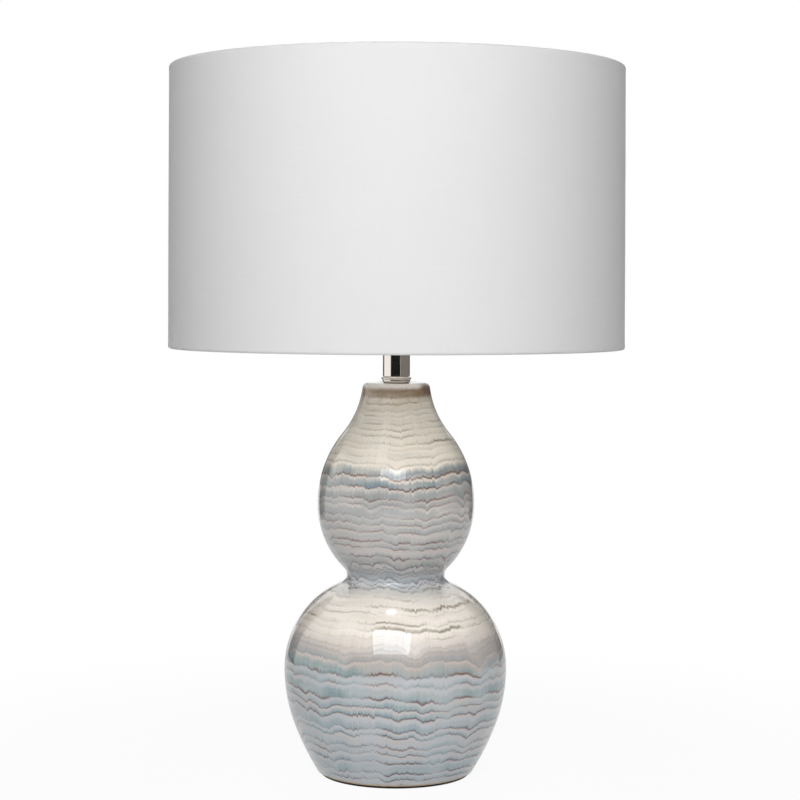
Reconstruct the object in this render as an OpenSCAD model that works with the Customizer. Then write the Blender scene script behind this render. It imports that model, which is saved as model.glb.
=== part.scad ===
// Double gourd table lamp: a glazed ceramic body on a felt foot, a nickel neck and socket, and a drum shade
// carried on a harp. Millimetres, Z up. The lamp stands on z = 0 and its axis is the Z axis. The front is -Y,
// the cord outlet is at the back, and the harp stands in the XZ plane.

/* [Shade] */
// Outside diameter of the drum shade
shade_d = 406.4; // [320:0.1:490]
// Height of the shade from rim to rim
shade_h = 250.6; // [180:0.1:310]
// Thickness of the linen
linen_t = 0.6; // [0.4:0.1:1]
// Thickness of the stiff lining the linen is glued to
lining_t = 0.5; // [0.3:0.1:0.8]
// Glue line between the linen and the lining
glue_t = 0.05; // [0.02:0.01:0.1]
// Diameter of the wire in each rim
rim_wire_d = 3.2; // [2.4:0.1:4]
// Play between a rim wire and the linen rolled round it
hem_play = 0.15; // [0.05:0.05:0.3]

/* [Spider] */
// Depth of the spider's washer below the top rim
spider_drop = 12.7; // [8:0.1:25]
// Diameter of the washer
washer_d = 34; // [28:1:44]
// Hole in the washer
washer_hole_d = 11; // [8:0.5:12]
// Thickness of the washer
washer_t = 2; // [1.5:0.1:3]
// Number of arms
arm_count = 3; // [3:1:4]
// Diameter of an arm
arm_d = 2.8; // [2.2:0.1:3.2]
// Radius of the bend where an arm turns up to the rim
arm_bend_r = 6; // [4:0.5:9]
// Slope of the arm's upturned end, in degrees
arm_slope = 50; // [40:1:65]

/* [Gourd] */
// Radius of the lower lobe at its widest
lower_r = 99.05; // [82:0.05:120]
// Height of the widest place of the lower lobe
lower_z = 93.8; // [84:0.1:113]
// Radius of the arc above the widest place of the lower lobe
lower_top_arc = 81.6; // [70:0.1:98]
// Radius of the arc below it
lower_low_arc = 139.1; // [116:0.1:167]
// How far down the lower arc turns before the flatter flank takes over, in degrees
flank_turn = 21.3; // [15:0.1:26]
// Radius of the flank's arc
flank_arc = 244.2; // [204:0.1:293]
// Radius at the waist
waist_r = 43.7; // [36:0.1:52]
// Radius of the waist's hollow
waist_arc = 8.1; // [5:0.1:14]
// Radius of the upper lobe at its widest
upper_r = 70.2; // [60:0.1:84]
// Radius of the arc below the widest place of the upper lobe
upper_low_arc = 81.1; // [68:0.1:97]
// Radius of the arc above it
upper_top_arc = 99.7; // [84:0.1:120]
// Smallest radius of the neck's hollow curve
neck_r = 29.55; // [25:0.05:35]
// Radius of the neck's hollow curve
neck_arc = 79.7; // [67:0.1:95]
// How far below the curve's narrowest place the neck is cut off
neck_cut = 6; // [3:0.1:9]
// Radius of the rounded shoulder at the top
shoulder_arc = 5.3; // [3:0.1:7]
// Radius of the foot's outer edge
foot_arc = 4; // [2:0.1:6]
// Thickness of the ceramic wall
wall = 6; // [4.5:0.1:7.5]
// Hole for the rod in the top of the neck
rod_hole_d = 12.4; // [11.5:0.1:14]

/* [Foot] */
// Thickness of the felt pad
felt_t = 2; // [1:0.1:3]
// How far the felt stays inside the foot's flat
felt_margin = 0.5; // [0:0.1:3]
// Width of the ring that the lamp stands on
foot_ring_w = 10.5; // [8:0.1:14]
// Depth of the rebate inside the foot
rebate_h = 9; // [8.5:0.1:13]
// Width of the ledge above the rebate
ledge_w = 6; // [4:0.1:9]
// Thickness of the ledge
ledge_t = 7; // [5:0.1:9]
// Thickness of the steel plate under the ledge
plate_t = 1.6; // [1:0.1:2.5]
// Play between the plate and the rebate, on the radius
plate_play = 0.8; // [0.3:0.1:1.5]
// Diameter of the plate's raised middle
dish_d = 44; // [34:1:50]
// Height of the raised middle
dish_h = 3; // [2:0.1:4]
// Hole in the plate for the cord
plate_hole_d = 9; // [7:0.5:11]
// Distance of that hole from the axis
plate_hole_y = 36; // [32:0.5:42]

/* [Cord outlet] */
// Height of the outlet on the outside of the body
outlet_z = 34; // [26:0.5:42]
// Hole drilled square to the wall
outlet_hole_d = 10.4; // [9:0.1:12]
// Bore of the bushing
outlet_bore_d = 6.4; // [5:0.1:7.5]
// Play between the bushing and the hole, on the radius
outlet_play = 0.25; // [0.1:0.05:0.5]
// Diameter of the bushing's flange
flange_d = 15; // [13:0.5:18]
// Thickness of the flange
flange_t = 2; // [1.5:0.1:3]
// Length of the bushing's barb inside the wall
barb_l = 2.2; // [1.5:0.1:3]
// How far the barb stands out past the hole, on the radius
barb_grip = 0.6; // [0.3:0.1:1]
// Clearance between the barb and the inside of the wall
barb_gap = 0.6; // [0.5:0.1:1.2]

/* [Rod and nuts] */
// Outside diameter of the hollow threaded rod
rod_d = 10; // [9:0.1:10.6]
// Bore of the rod
rod_bore_d = 7; // [5.5:0.1:7.6]
// Play of parts threaded on the rod, on the radius
thread_play = 0.05; // [0.02:0.01:0.1]
// Play of parts that the rod only passes through, on the radius
pass_play = 0.3; // [0.2:0.05:0.5]
// How far the rod stands out below the bottom nut
rod_end = 1; // [0.5:0.1:1.5]
// Size across the flats of the nuts
nut_af = 16; // [14:0.5:18]
// Height of the bottom nut
base_nut_h = 4; // [3.5:0.1:4.5]
// Diameter of the toothed lock washer
lock_d = 19; // [17:0.5:22]
// Thickness of the lock washer
lock_t = 1; // [0.8:0.1:1.2]
// Number of teeth round the lock washer's hole
lock_teeth = 10; // [8:1:12]

/* [Neck] */
// Diameter of the rubber washer on top of the ceramic
seal_d = 23.6; // [22:0.1:24]
// Thickness of the rubber washer
seal_t = 0.8; // [0.5:0.1:1.2]
// Widest diameter of the collar
collar_d = 26.8; // [25:0.1:29]
// Diameter of the collar's foot
collar_foot_d = 24.8; // [23.8:0.1:25]
// Height of the collar
collar_h = 4.9; // [4.2:0.1:6]
// Radius of the bead round the collar
bead_r = 1.75; // [1.4:0.05:2]
// Outside diameter of the neck tube
neck_tube_d = 24.3; // [23:0.1:24.6]
// Wall of the neck tube
neck_tube_t = 1; // [0.6:0.1:1.5]
// Height of the neck tube
neck_tube_h = 33.4; // [28:0.1:41]
// Thickness of the neck tube's closed top
neck_top_t = 1.5; // [1:0.1:2]
// Height of the nut on the neck tube
neck_nut_h = 3.5; // [3:0.1:4.5]

/* [Harp] */
// Height of the harp from its leg ends to its seat
harp_h = 215.9; // [190:0.1:260]
// Distance between the legs at the saddle
harp_foot_w = 57; // [52:0.5:62]
// Diameter of the harp's wire
harp_wire_d = 3.2; // [2.8:0.1:3.6]
// Straight length of each leg, which the ferrule slides on
leg_straight = 34; // [30:0.5:38]
// Radius of the bend above the straight length
leg_bend_r = 30; // [22:1:38]
// How far the legs lean outwards above it, in degrees
leg_lean = 16; // [13:0.5:18]
// Radius of the harp's sides
side_arc = 150; // [120:1:170]
// How far the sides turn inwards before the corners, in degrees
side_lean = 12; // [9:0.5:14]
// Radius of the top corners
corner_arc = 28; // [22:0.5:34]
// Width of the crimped block that holds the seat
crimp_w = 16; // [12:0.5:20]
// Depth of the crimped block, front to back
crimp_depth = 7; // [6:0.5:9]
// Height of the crimped block below the seat
crimp_h = 5.4; // [5:0.1:7]
// Diameter of the seat that the shade rests on
seat_d = 16; // [14:0.5:20]
// Thickness of the seat
seat_t = 2; // [1.5:0.1:3]
// Diameter of the stud for the finial
stud_d = 6.35; // [5.8:0.05:6.4]
// Length of the stud above the seat
stud_h = 9; // [8:0.1:9.5]

/* [Saddle and ferrules] */
// Thickness of the saddle's strip
saddle_t = 1.6; // [1.2:0.1:2]
// Width of the strip
saddle_w = 11; // [9:0.5:13]
// Diameter of the strip's round middle
saddle_boss_d = 21; // [18:0.5:24]
// Inside radius of the strip's bends
saddle_bend_r = 2.5; // [2:0.1:3.5]
// Height of the ears above the strip, up to the bottom of the cups
ear_h = 5; // [4.5:0.1:8]
// Outside diameter of the cups that hold the harp's legs
cup_d = 6.2; // [5.6:0.1:6.6]
// Width of the saddle's ears where they meet the cups
ear_top_w = 5.2; // [4:0.1:6]
// Depth of a cup's bore
cup_depth = 8; // [6:0.1:9]
// Thickness of a cup's floor
cup_floor_t = 2; // [1.5:0.1:3]
// Outside diameter of a ferrule
ferrule_d = 8.4; // [7.8:0.1:9.4]
// Height of a ferrule
ferrule_h = 13.5; // [12.5:0.1:15]
// Thickness of a ferrule's top
ferrule_top_t = 2; // [1.5:0.1:3]

/* [Socket] */
// Outside diameter of the socket's cap
cap_d = 35.2; // [34:0.1:38]
// Thickness of the cap's metal
cap_t = 0.9; // [0.6:0.1:1.1]
// Diameter of the cap's threaded hub
hub_d = 14.8; // [13.5:0.1:16]
// Height of the hub
hub_h = 8.5; // [7:0.1:11]
// Height of the cap's straight skirt
skirt_h = 6; // [5:0.1:7]
// Diameter of the screw that locks the hub on the rod
set_screw_d = 3; // [2.5:0.1:3.5]
// Length of the set screw outside the rod
set_screw_l = 6.5; // [5:0.1:8]
// Play between the shell and the cap's skirt, on the radius
shell_play = 0.3; // [0.2:0.05:0.5]
// Thickness of the shell
shell_t = 0.5; // [0.4:0.1:0.7]
// Height of the shell
shell_h = 43; // [41:0.1:46]
// Radius of the bead round the shell's mouth
mouth_bead_r = 0.9; // [0.7:0.1:1.1]
// Thickness of the paper sleeve inside the shell
sleeve_t = 0.7; // [0.4:0.1:0.9]
// Play between the sleeve and the parts on each side of it
sleeve_play = 0.2; // [0.1:0.05:0.3]
// How far the sleeve stands out of the shell
sleeve_proud = 0.8; // [0.4:0.1:1.5]
// Height of the insulating core above its open foot
core_h = 24; // [22:0.1:25]
// Wall of the core's open foot
core_foot_t = 1.8; // [1.4:0.1:2.4]
// Depth of the switch shaft below the core's top
shaft_drop = 11.5; // [10.5:0.1:12.5]
// Diameter of the switch shaft
shaft_d = 4; // [3.4:0.1:4.6]
// Reach of the shaft from the lamp's axis
shaft_l = 30; // [28:0.5:33]
// Depth of the shaft's bore, from the lamp's axis
shaft_in = 6; // [5:0.5:7]
// Width of the notch for the shaft in the shell and sleeve
notch_w = 8; // [7:0.1:9]
// Diameter of the switch knob
knob_d = 11; // [10:0.5:13]
// Length of the knob
knob_l = 14; // [12:0.5:16]
// Gap between the shell and the knob
knob_gap = 3; // [2:0.1:4]
// Number of flutes round the knob
knob_flutes = 12; // [8:1:16]
// Diameter of a flute
flute_d = 1.8; // [1.2:0.1:2]
// Diameter of a terminal screw's head
terminal_head_d = 6.4; // [5.6:0.1:7]
// Thickness of a terminal screw's head
terminal_head_t = 1.8; // [1.5:0.1:2.2]
// Diameter of a terminal screw's shank
terminal_shank_d = 3.4; // [3:0.1:3.8]
// Length of a terminal screw's shank
terminal_shank_l = 4.5; // [3.5:0.1:5]
// Inside diameter of the lamp holder's screw shell
holder_d = 26.7; // [26.6:0.05:27]
// Thickness of the screw shell
holder_t = 0.45; // [0.3:0.05:0.5]
// Height of the screw shell
holder_h = 18.5; // [16:0.1:19]
// Width of the brass centre contact
contact_w = 5; // [4:0.5:6]
// How far the centre contact reaches to the side of its foot
contact_back = 9.3; // [8:0.1:10]
// How far it reaches to the other side
contact_front = 5.3; // [4:0.1:7]
// Length of its flat foot
contact_foot_l = 5.3; // [4:0.1:6]
// Length of its raised tip
contact_tip_l = 4; // [3:0.1:5]
// Thickness of the centre contact
contact_t = 0.5; // [0.4:0.1:0.7]
// How high the centre contact's tongue rises
contact_rise = 2.2; // [1.8:0.1:2.6]

/* [Light bulb] */
// Diameter of the bulb
bulb_d = 60; // [45:0.5:66]
// Overall length of the bulb
bulb_l = 108; // [100:0.5:118]
// Radius of the glass at its neck
bulb_neck_r = 13.2; // [13.1:0.1:14]
// Radius of the hollow curve between the neck and the round
bulb_neck_arc = 55; // [50:0.5:62]
// Thickness of the glass
glass_t = 0.8; // [0.5:0.1:1.2]
// Diameter of the metal screw cap
bulb_cap_d = 26.1; // [26:0.05:26.2]
// Height of the screw cap
bulb_cap_h = 22.5; // [20:0.1:23]
// Height of the cap's tapered end
bulb_taper_h = 2.7; // [2:0.1:4]
// Depth of the glass spigot in the cap
spigot_h = 5; // [3:0.1:8]
// Radius of the insulator where it meets the cap
insulator_r = 9; // [8:0.1:10]
// Height of the insulator
insulator_h = 2.5; // [2:0.1:3]
// Radius of the contact button
button_r = 4.7; // [4:0.1:5.5]
// Height of the contact button
button_h = 1; // [0.6:0.1:1.5]

/* [Finial] */
// Height of the finial
finial_h = 17.5; // [16:0.1:25]
// Diameter of the finial's base
finial_base_d = 15; // [13:0.5:20]
// Thickness of the base
finial_base_t = 1.8; // [1.4:0.1:2.5]
// Radius of the ball
ball_r = 6.4; // [5.6:0.1:8]
// Radius of the finial's neck
finial_neck_r = 4.8; // [4.4:0.1:5.4]
// Radius of the cove between the base and the neck
cove_r = 1.8; // [1:0.1:2.2]

/* [Fits] */
// Running clearance on the radius of parts that turn or slide
run_play = 0.05; // [0.02:0.01:0.09]
// Gap between resting parts that can be moved apart
rest_gap = 0.3; // [0.2:0.05:0.4]
// Diameter of the hole in the socket core for a wire
wire_hole_d = 3; // [2:0.1:4]

/* [Hidden] */
$fn = 96;

// How far a cutting shape reaches past the face it cuts
cut = 1;
// How far the bushing's flange stands off the curved wall
flange_gap = 0.1;
// How much the bent part of the harp's wire is thinner than its straight legs
wire_step = 0.01;
// How far a straight step of a curved outline may lie from its arc
chord_error = 0.03;
// Sides of a bent wire
wire_sides = 16;

nickel = [0.78, 0.76, 0.73];
brass = [0.80, 0.66, 0.36];
steel = [0.60, 0.61, 0.62];
linen = [0.91, 0.91, 0.90];
glaze = [0.71, 0.76, 0.77];

// The body's outline is a chain of arcs, each [centre, radius], that meet without a corner. Each centre follows
// from the arc before it, so the heights of the waist, the upper lobe and the neck follow from the radii.
lower_low = [[lower_r - lower_low_arc, lower_z], lower_low_arc];
lower_top = [[lower_r - lower_top_arc, lower_z], lower_top_arc];
flank = [
    lower_low[0] + (lower_low_arc - flank_arc) * [cos(flank_turn), -sin(flank_turn)],
    flank_arc
];
waist = [above(lower_top, waist_r + waist_arc, waist_arc), waist_arc];
upper_z = above(waist, upper_r - upper_low_arc, upper_low_arc)[1];
upper_low = [[upper_r - upper_low_arc, upper_z], upper_low_arc];
upper_top = [[upper_r - upper_top_arc, upper_z], upper_top_arc];
neck = [above(upper_top, neck_r + neck_arc, neck_arc), neck_arc];
body_top = round(100 * (neck[0][1] - neck_cut)) / 100;
waist_from = towards(lower_top, waist);
waist_to = towards(upper_low, waist);
neck_from = towards(upper_top, neck);

// The two small edge arcs touch the chain's ends and the flat faces at the foot and the top
foot_edge = [[radius_at([flank[0], flank_arc - foot_arc], felt_t + foot_arc), felt_t + foot_arc], foot_arc];
shoulder = [
    [hollow_at([neck[0], neck_arc + shoulder_arc], body_top - shoulder_arc), body_top - shoulder_arc],
    shoulder_arc
];
foot_flat_r = foot_edge[0][0];

// Foot
rebate_r = foot_flat_r - foot_ring_w;
ledge_z = felt_t + rebate_h;
plate_z = ledge_z - plate_t;
dish_z = plate_z + dish_h;
nut_z = dish_z - lock_t - base_nut_h;
rod_z = nut_z - rod_end;

// Cord outlet: its place on the flank and its downward tilt, square to the wall
outlet_r = radius_at(flank, outlet_z);
outlet_tilt = asin((flank[0][1] - outlet_z) / flank_arc);

// Stack on the rod, from the ceramic upwards
collar_z = body_top + seal_t;
neck_tube_z = collar_z + collar_h;
neck_nut_z = neck_tube_z + neck_tube_h;
saddle_z = neck_nut_z + neck_nut_h;
cap_z = saddle_z + saddle_t;
rod_top = cap_z + hub_h - cut;

// Harp
harp_x = harp_foot_w / 2;
wire_r = harp_wire_d / 2;
cup_z = saddle_z + saddle_t + ear_h;
leg_z = cup_z + cup_floor_t;
ferrule_z = cup_z + rest_gap;
seat_z = leg_z + harp_h;
bar_z = seat_z - seat_t - wire_r - run_play;
bend_z = leg_z + leg_straight;

// The right half of the harp's bent wire, from the top of the straight leg: a bend outwards, a leaning straight
// length that takes up the rest of the height, the side and the corner
leg_bend = [[harp_x + leg_bend_r, bend_z], leg_bend_r];
lean_start = on(leg_bend, 180 - leg_lean);
lean_h = bar_z - lean_start[1] - side_arc * (sin(leg_lean) + sin(side_lean))
    - corner_arc * (1 - sin(side_lean));
lean_end = lean_start + lean_h * [tan(leg_lean), 1];
side = [lean_end - side_arc * [cos(leg_lean), -sin(leg_lean)], side_arc];
corner = [side[0] + (side_arc - corner_arc) * [cos(side_lean), sin(side_lean)], corner_arc];
harp_half = concat(
    [[[harp_x, bend_z], 90]],
    stations(leg_bend, 180, 180 - leg_lean),
    [[lean_end, 90 - leg_lean]],
    stations(side, -leg_lean, side_lean),
    stations(corner, side_lean, 90)
);

// Shade: the washer rests on the harp's seat and the rims follow from it
washer_z = seat_z + rest_gap;
arm_z = washer_z + washer_t / 2;
shade_top = arm_z + spider_drop;
shade_bottom = shade_top - shade_h;
shade_r = shade_d / 2;
rim_wire_r = rim_wire_d / 2;
roll_r = rim_wire_r + hem_play + linen_t;
rim_r = shade_r - roll_r;
top_rim_z = shade_top - roll_r;
bottom_rim_z = shade_bottom + roll_r;
lining_r = shade_r - linen_t - glue_t;
lining_inner_r = lining_r - lining_t;
arm_rise = top_rim_z - arm_z;
arm_slope_l = (arm_rise - arm_bend_r * (1 - cos(arm_slope))) / sin(arm_slope);
arm_bend = [
    [rim_r - arm_slope_l * cos(arm_slope) - arm_bend_r * sin(arm_slope), arm_z + arm_bend_r],
    arm_bend_r
];
finial_z = washer_z + washer_t + rest_gap;

// Socket
hub_r = hub_d / 2;
bowl_r = (cap_d - hub_d) / 2;
bowl_z = cap_z + hub_h + bowl_r;
skirt_top = bowl_z + skirt_h;
shell_r = cap_d / 2 - cap_t - shell_play;
shell_z = bowl_z + cut;
shell_top = shell_z + shell_h;
sleeve_r = shell_r - shell_t - sleeve_play;
core_r = sleeve_r - sleeve_t - sleeve_play;
core_z = bowl_z + cut;
core_top = core_z + core_h;
core_foot_z = bowl_z - sqrt(pow(bowl_r - cap_t, 2) - pow(core_r - hub_r, 2)) + rest_gap;
shaft_z = core_top - shaft_drop;
knob_y = shell_r + knob_gap;
terminal_x = core_r - terminal_head_t - sleeve_play;

// Light bulb
bulb_z = core_top + contact_rise + rest_gap;
bulb_r = bulb_d / 2;
bulb_cap_z = bulb_z + button_h + insulator_h;
bulb_glass_z = bulb_cap_z + bulb_cap_h;
bulb_round = [[0, bulb_z + bulb_l - bulb_r], bulb_r];
bulb_neck_x = bulb_neck_r + bulb_neck_arc;
bulb_neck_z = bulb_round[0][1] - sqrt(pow(bulb_r + bulb_neck_arc, 2) - pow(bulb_neck_x, 2));
bulb_neck = [[bulb_neck_x, bulb_neck_z], bulb_neck_arc];

// Centre of an arc of the given radius that touches the given arc from outside, above it, at distance x
function above(arc, x, radius) =
    [x, arc[0][1] + sqrt(pow(arc[1] + radius, 2) - pow(x - arc[0][0], 2))];

// Distance from the axis to a bulging arc at height z
function radius_at(arc, z) = arc[0][0] + sqrt(pow(arc[1], 2) - pow(arc[0][1] - z, 2));

// Distance from the axis to a hollow arc at height z
function hollow_at(arc, z) = arc[0][0] - sqrt(pow(arc[1], 2) - pow(arc[0][1] - z, 2));

// Angle of the line from one arc's centre to another's
function towards(arc, other) = atan2(other[0][1] - arc[0][1], other[0][0] - arc[0][0]);

// Point of an arc in the direction of the angle
function on(arc, angle) = arc[0] + arc[1] * [cos(angle), sin(angle)];

// The same arc with a smaller radius
function shrunk(arc, by) = [arc[0], arc[1] - by];

// Number of straight steps that keep within the chord error
function steps(r, turn) = ceil(abs(turn) / (2 * acos(1 - chord_error / r)));

// Stations [point, heading] along an arc from one angle to another, without the first
function stations(arc, first, last) = [
    for (i = [1:steps(arc[1], last - first)])
        let (angle = first + (last - first) * i / steps(arc[1], last - first))
            [on(arc, angle), angle + 90 * sign(last - first)]
];

// Points along an arc from one angle to another, without the first
function arc_points(arc, first, last) = [for (s = stations(arc, first, last)) s[0]];

// The gourd's outline moved inwards, from an angle of the flank to an angle of the neck's hollow
function gourd_points(by, first, last) = concat(
    arc_points(shrunk(flank, by), first, -flank_turn),
    arc_points(shrunk(lower_low, by), -flank_turn, 0),
    arc_points(shrunk(lower_top, by), 0, waist_from),
    arc_points(shrunk(waist, -by), 180 + waist_from, 180 + waist_to),
    arc_points(shrunk(upper_low, by), waist_to, 0),
    arc_points(shrunk(upper_top, by), 0, neck_from),
    arc_points(shrunk(neck, -by), 180 + neck_from, last)
);

// Ring of points round a station of a wire in the XZ plane
function wire_ring(station, r) = [
    for (i = [0:wire_sides - 1])
        let (across = r * cos(i * 360 / wire_sides), back = r * sin(i * 360 / wire_sides))
            [
                station[0][0] - across * sin(station[1]),
                -back,
                station[0][1] + across * cos(station[1])
            ]
];

// Wire swept along stations in the XZ plane
module bent_wire(path, r) {
    n = wire_sides;
    last = len(path) - 1;
    polyhedron(
        points = [for (station = path) each wire_ring(station, r)],
        faces = concat(
            [[for (i = [0:n - 1]) i]],
            [for (k = [0:last - 1], i = [0:n - 1])
                [k * n + i, (k + 1) * n + i, (k + 1) * n + (i + 1) % n, k * n + (i + 1) % n]],
            [[for (i = [n - 1:-1:0]) last * n + i]]
        )
    );
}

// Flat rectangle between two radii and two heights
module band(r_in, r_out, z_low, z_high) {
    translate([r_in, z_low]) square([r_out - r_in, z_high - z_low]);
}

// Ring round the lamp's axis between two radii and two heights
module ring(r_in, r_out, z_low, z_high) {
    rotate_extrude() band(r_in, r_out, z_low, z_high);
}

// Moves children from the Z axis to the cord outlet, with +Z pointing out of the wall
module at_outlet() {
    translate([0, outlet_r, outlet_z]) rotate([-90 - outlet_tilt, 0, 0]) children();
}

// Turns a shape drawn in the XY plane to stand in the XZ plane
module upright() {
    rotate([90, 0, 0]) children();
}

module ceramic_body() {
    floor_z = ledge_z + ledge_t;
    ceiling_z = body_top - wall;
    foot_from = towards(flank, foot_edge);
    shoulder_from = towards(shoulder, neck);
    cavity_from = asin((floor_z - flank[0][1]) / (flank_arc - wall));
    cavity_to = 180 + asin((neck[0][1] - ceiling_z) / (neck_arc + wall));
    color(glaze) difference() {
        rotate_extrude() difference() {
            polygon(concat(
                [[0, felt_t], [foot_flat_r, felt_t]],
                arc_points(foot_edge, -90, foot_from),
                gourd_points(0, foot_from, 180 + shoulder_from),
                arc_points(shoulder, shoulder_from, 90),
                [[0, body_top]]
            ));
            polygon(concat(
                [[0, floor_z], on(shrunk(flank, wall), cavity_from)],
                gourd_points(wall, cavity_from, cavity_to),
                [[0, ceiling_z]]
            ));
            band(-cut, rebate_r - ledge_w, felt_t - cut, floor_z + cut);
            band(-cut, rebate_r, felt_t - cut, ledge_z);
            band(-cut, rod_hole_d / 2, ceiling_z - cut, body_top + cut);
        }
        at_outlet() translate([0, 0, -2 * wall]) cylinder(d = outlet_hole_d, h = 3 * wall);
    }
}

module felt_pad() {
    color("dimgray") cylinder(r = foot_flat_r - felt_margin, h = felt_t);
}

// Pressed steel plate, drawn up against the ledge by the nut, with a raised middle
module base_plate() {
    hole_r = rod_d / 2 + pass_play;
    dish_r = dish_d / 2;
    color(steel) difference() {
        rotate_extrude() polygon([
            [hole_r, dish_z],
            [dish_r - dish_h, dish_z],
            [dish_r, plate_z],
            [rebate_r - plate_play, plate_z],
            [rebate_r - plate_play, plate_z + plate_t],
            [dish_r + plate_t / 2, plate_z + plate_t],
            [dish_r - dish_h + plate_t / 2, dish_z + plate_t],
            [hole_r, dish_z + plate_t]
        ]);
        translate([0, plate_hole_y, plate_z - cut]) cylinder(d = plate_hole_d, h = plate_t + 2 * cut);
    }
}

module lock_washer() {
    hole_r = rod_d / 2 + pass_play;
    tooth_l = (lock_d / 2 - hole_r) / 2;
    slot_w = PI * hole_r / lock_teeth;
    color(steel) difference() {
        ring(hole_r, lock_d / 2, dish_z - lock_t, dish_z);
        for (i = [0:lock_teeth - 1])
            rotate([0, 0, i * 360 / lock_teeth])
                translate([0, -slot_w / 2, dish_z - lock_t - cut])
                    cube([hole_r + tooth_l, slot_w, lock_t + 2 * cut]);
    }
}

// Hexagonal nut on the rod
module nut(z, h) {
    corner_r = nut_af / 2 / cos(30);
    flat_r = nut_af / 2;
    chamfer_h = (corner_r - flat_r) * tan(30);
    color(steel) translate([0, 0, z]) difference() {
        intersection() {
            cylinder(r = corner_r, h = h, $fn = 6);
            rotate_extrude() polygon([
                [0, 0],
                [flat_r, 0],
                [corner_r + cut * cos(30), chamfer_h + cut * sin(30)],
                [corner_r + cut * cos(30), h - chamfer_h - cut * sin(30)],
                [flat_r, h],
                [0, h]
            ]);
        }
        translate([0, 0, -cut]) cylinder(r = rod_d / 2 + thread_play, h = h + 2 * cut);
    }
}

module base_nut() {
    nut(nut_z, base_nut_h);
}

// Soft bushing: a round-edged flange outside the wall, a plain body in the hole and a barb inside
module cord_bushing() {
    bore_r = outlet_bore_d / 2;
    body_r = outlet_hole_d / 2 - outlet_play;
    barb_z = -wall - barb_gap;
    flange_z = flange_gap;
    edge = [[flange_d / 2 - flange_t / 2, flange_z + flange_t / 2], flange_t / 2];
    color("dimgray") at_outlet() rotate_extrude() polygon(concat(
        [
            [bore_r, barb_z - barb_l],
            [body_r, barb_z - barb_l],
            [outlet_hole_d / 2 + barb_grip, barb_z],
            [body_r, barb_z],
            [body_r, flange_z],
            on(edge, -90)
        ],
        arc_points(edge, -90, 90),
        [[bore_r, flange_z + flange_t]]
    ));
}

module threaded_rod() {
    color(steel) ring(rod_bore_d / 2, rod_d / 2, rod_z, rod_top);
}

module seal_washer() {
    color("dimgray") ring(rod_d / 2 + pass_play, seal_d / 2, body_top, collar_z);
}

// Turned collar: a plain foot, a round bead and a flat top
module collar_ring() {
    hole_r = rod_d / 2 + pass_play;
    bead_x = collar_d / 2 - bead_r;
    bead_z = collar_z + collar_h - bead_r;
    color(nickel) rotate_extrude() difference() {
        union() {
            band(0, collar_foot_d / 2, collar_z, bead_z);
            band(0, bead_x, collar_z, collar_z + collar_h);
            translate([bead_x, bead_z]) circle(bead_r);
        }
        band(-cut, hole_r, collar_z - cut, collar_z + collar_h + cut);
    }
}

module neck_tube() {
    r = neck_tube_d / 2;
    color(nickel) {
        rotate_extrude() {
            band(r - neck_tube_t, r, neck_tube_z, neck_nut_z);
            band(rod_d / 2 + pass_play, r, neck_nut_z - neck_top_t, neck_nut_z);
        }
    }
}

module neck_nut() {
    nut(neck_nut_z, neck_nut_h);
}

// One ear of the saddle, on the +X side: the bend, the tapered upright and the cup for the leg
module saddle_ear() {
    bend_x = harp_x - saddle_t / 2 - saddle_bend_r;
    bend_c_z = saddle_z + saddle_t + saddle_bend_r;
    half_w = saddle_w / 2;
    translate([bend_x, 0, bend_c_z]) upright() rotate([0, 0, -90])
        translate([0, 0, -half_w]) rotate_extrude(angle = 90)
            translate([saddle_bend_r, 0]) square([saddle_t, saddle_w]);
    translate([harp_x - saddle_t / 2, 0, 0]) rotate([90, 0, 90]) linear_extrude(saddle_t)
        polygon([
            [-half_w, bend_c_z],
            [half_w, bend_c_z],
            [ear_top_w / 2, cup_z + cut],
            [-ear_top_w / 2, cup_z + cut]
        ]);
    translate([harp_x, 0, cup_z]) difference() {
        cylinder(d = cup_d, h = cup_floor_t + cup_depth);
        translate([0, 0, cup_floor_t]) cylinder(r = wire_r + run_play, h = cup_depth + cut);
    }
}

module harp_saddle() {
    strip_l = harp_foot_w - saddle_t - 2 * saddle_bend_r;
    color(nickel) difference() {
        union() {
            translate([0, 0, saddle_z]) linear_extrude(saddle_t) {
                square([strip_l, saddle_w], center = true);
                circle(d = saddle_boss_d);
            }
            saddle_ear();
            mirror([1, 0, 0]) saddle_ear();
        }
        translate([0, 0, saddle_z - cut])
            cylinder(r = rod_d / 2 + pass_play, h = saddle_t + 2 * cut);
    }
}

// The harp: two straight legs and, between them, one bent wire that is set a hair inside their ends
module harp_wire() {
    half = concat([[[harp_x, bend_z - cut], 90]], harp_half);
    color(nickel) {
        for (x = [-harp_x, harp_x]) translate([x, 0, leg_z]) cylinder(r = wire_r, h = leg_straight);
        bent_wire(
            concat(half, [for (i = [len(half) - 1:-1:0]) [[-half[i][0][0], half[i][0][1]], -half[i][1]]]),
            wire_r - wire_step
        );
    }
}

// Seat for the shade: a block crimped round the harp's top wire, a flat disc and the stud for the finial
module harp_seat() {
    disc_z = seat_z - seat_t;
    color(nickel) difference() {
        union() {
            translate([-crimp_w / 2, -crimp_depth / 2, disc_z - crimp_h])
                cube([crimp_w, crimp_depth, crimp_h + seat_t / 2]);
            translate([0, 0, disc_z]) cylinder(d = seat_d, h = seat_t);
            translate([0, 0, disc_z]) cylinder(d = stud_d, h = seat_t + stud_h);
        }
        translate([-crimp_w / 2 - cut, 0, bar_z]) rotate([0, 90, 0])
            cylinder(r = wire_r + run_play, h = crimp_w + 2 * cut);
    }
}

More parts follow.
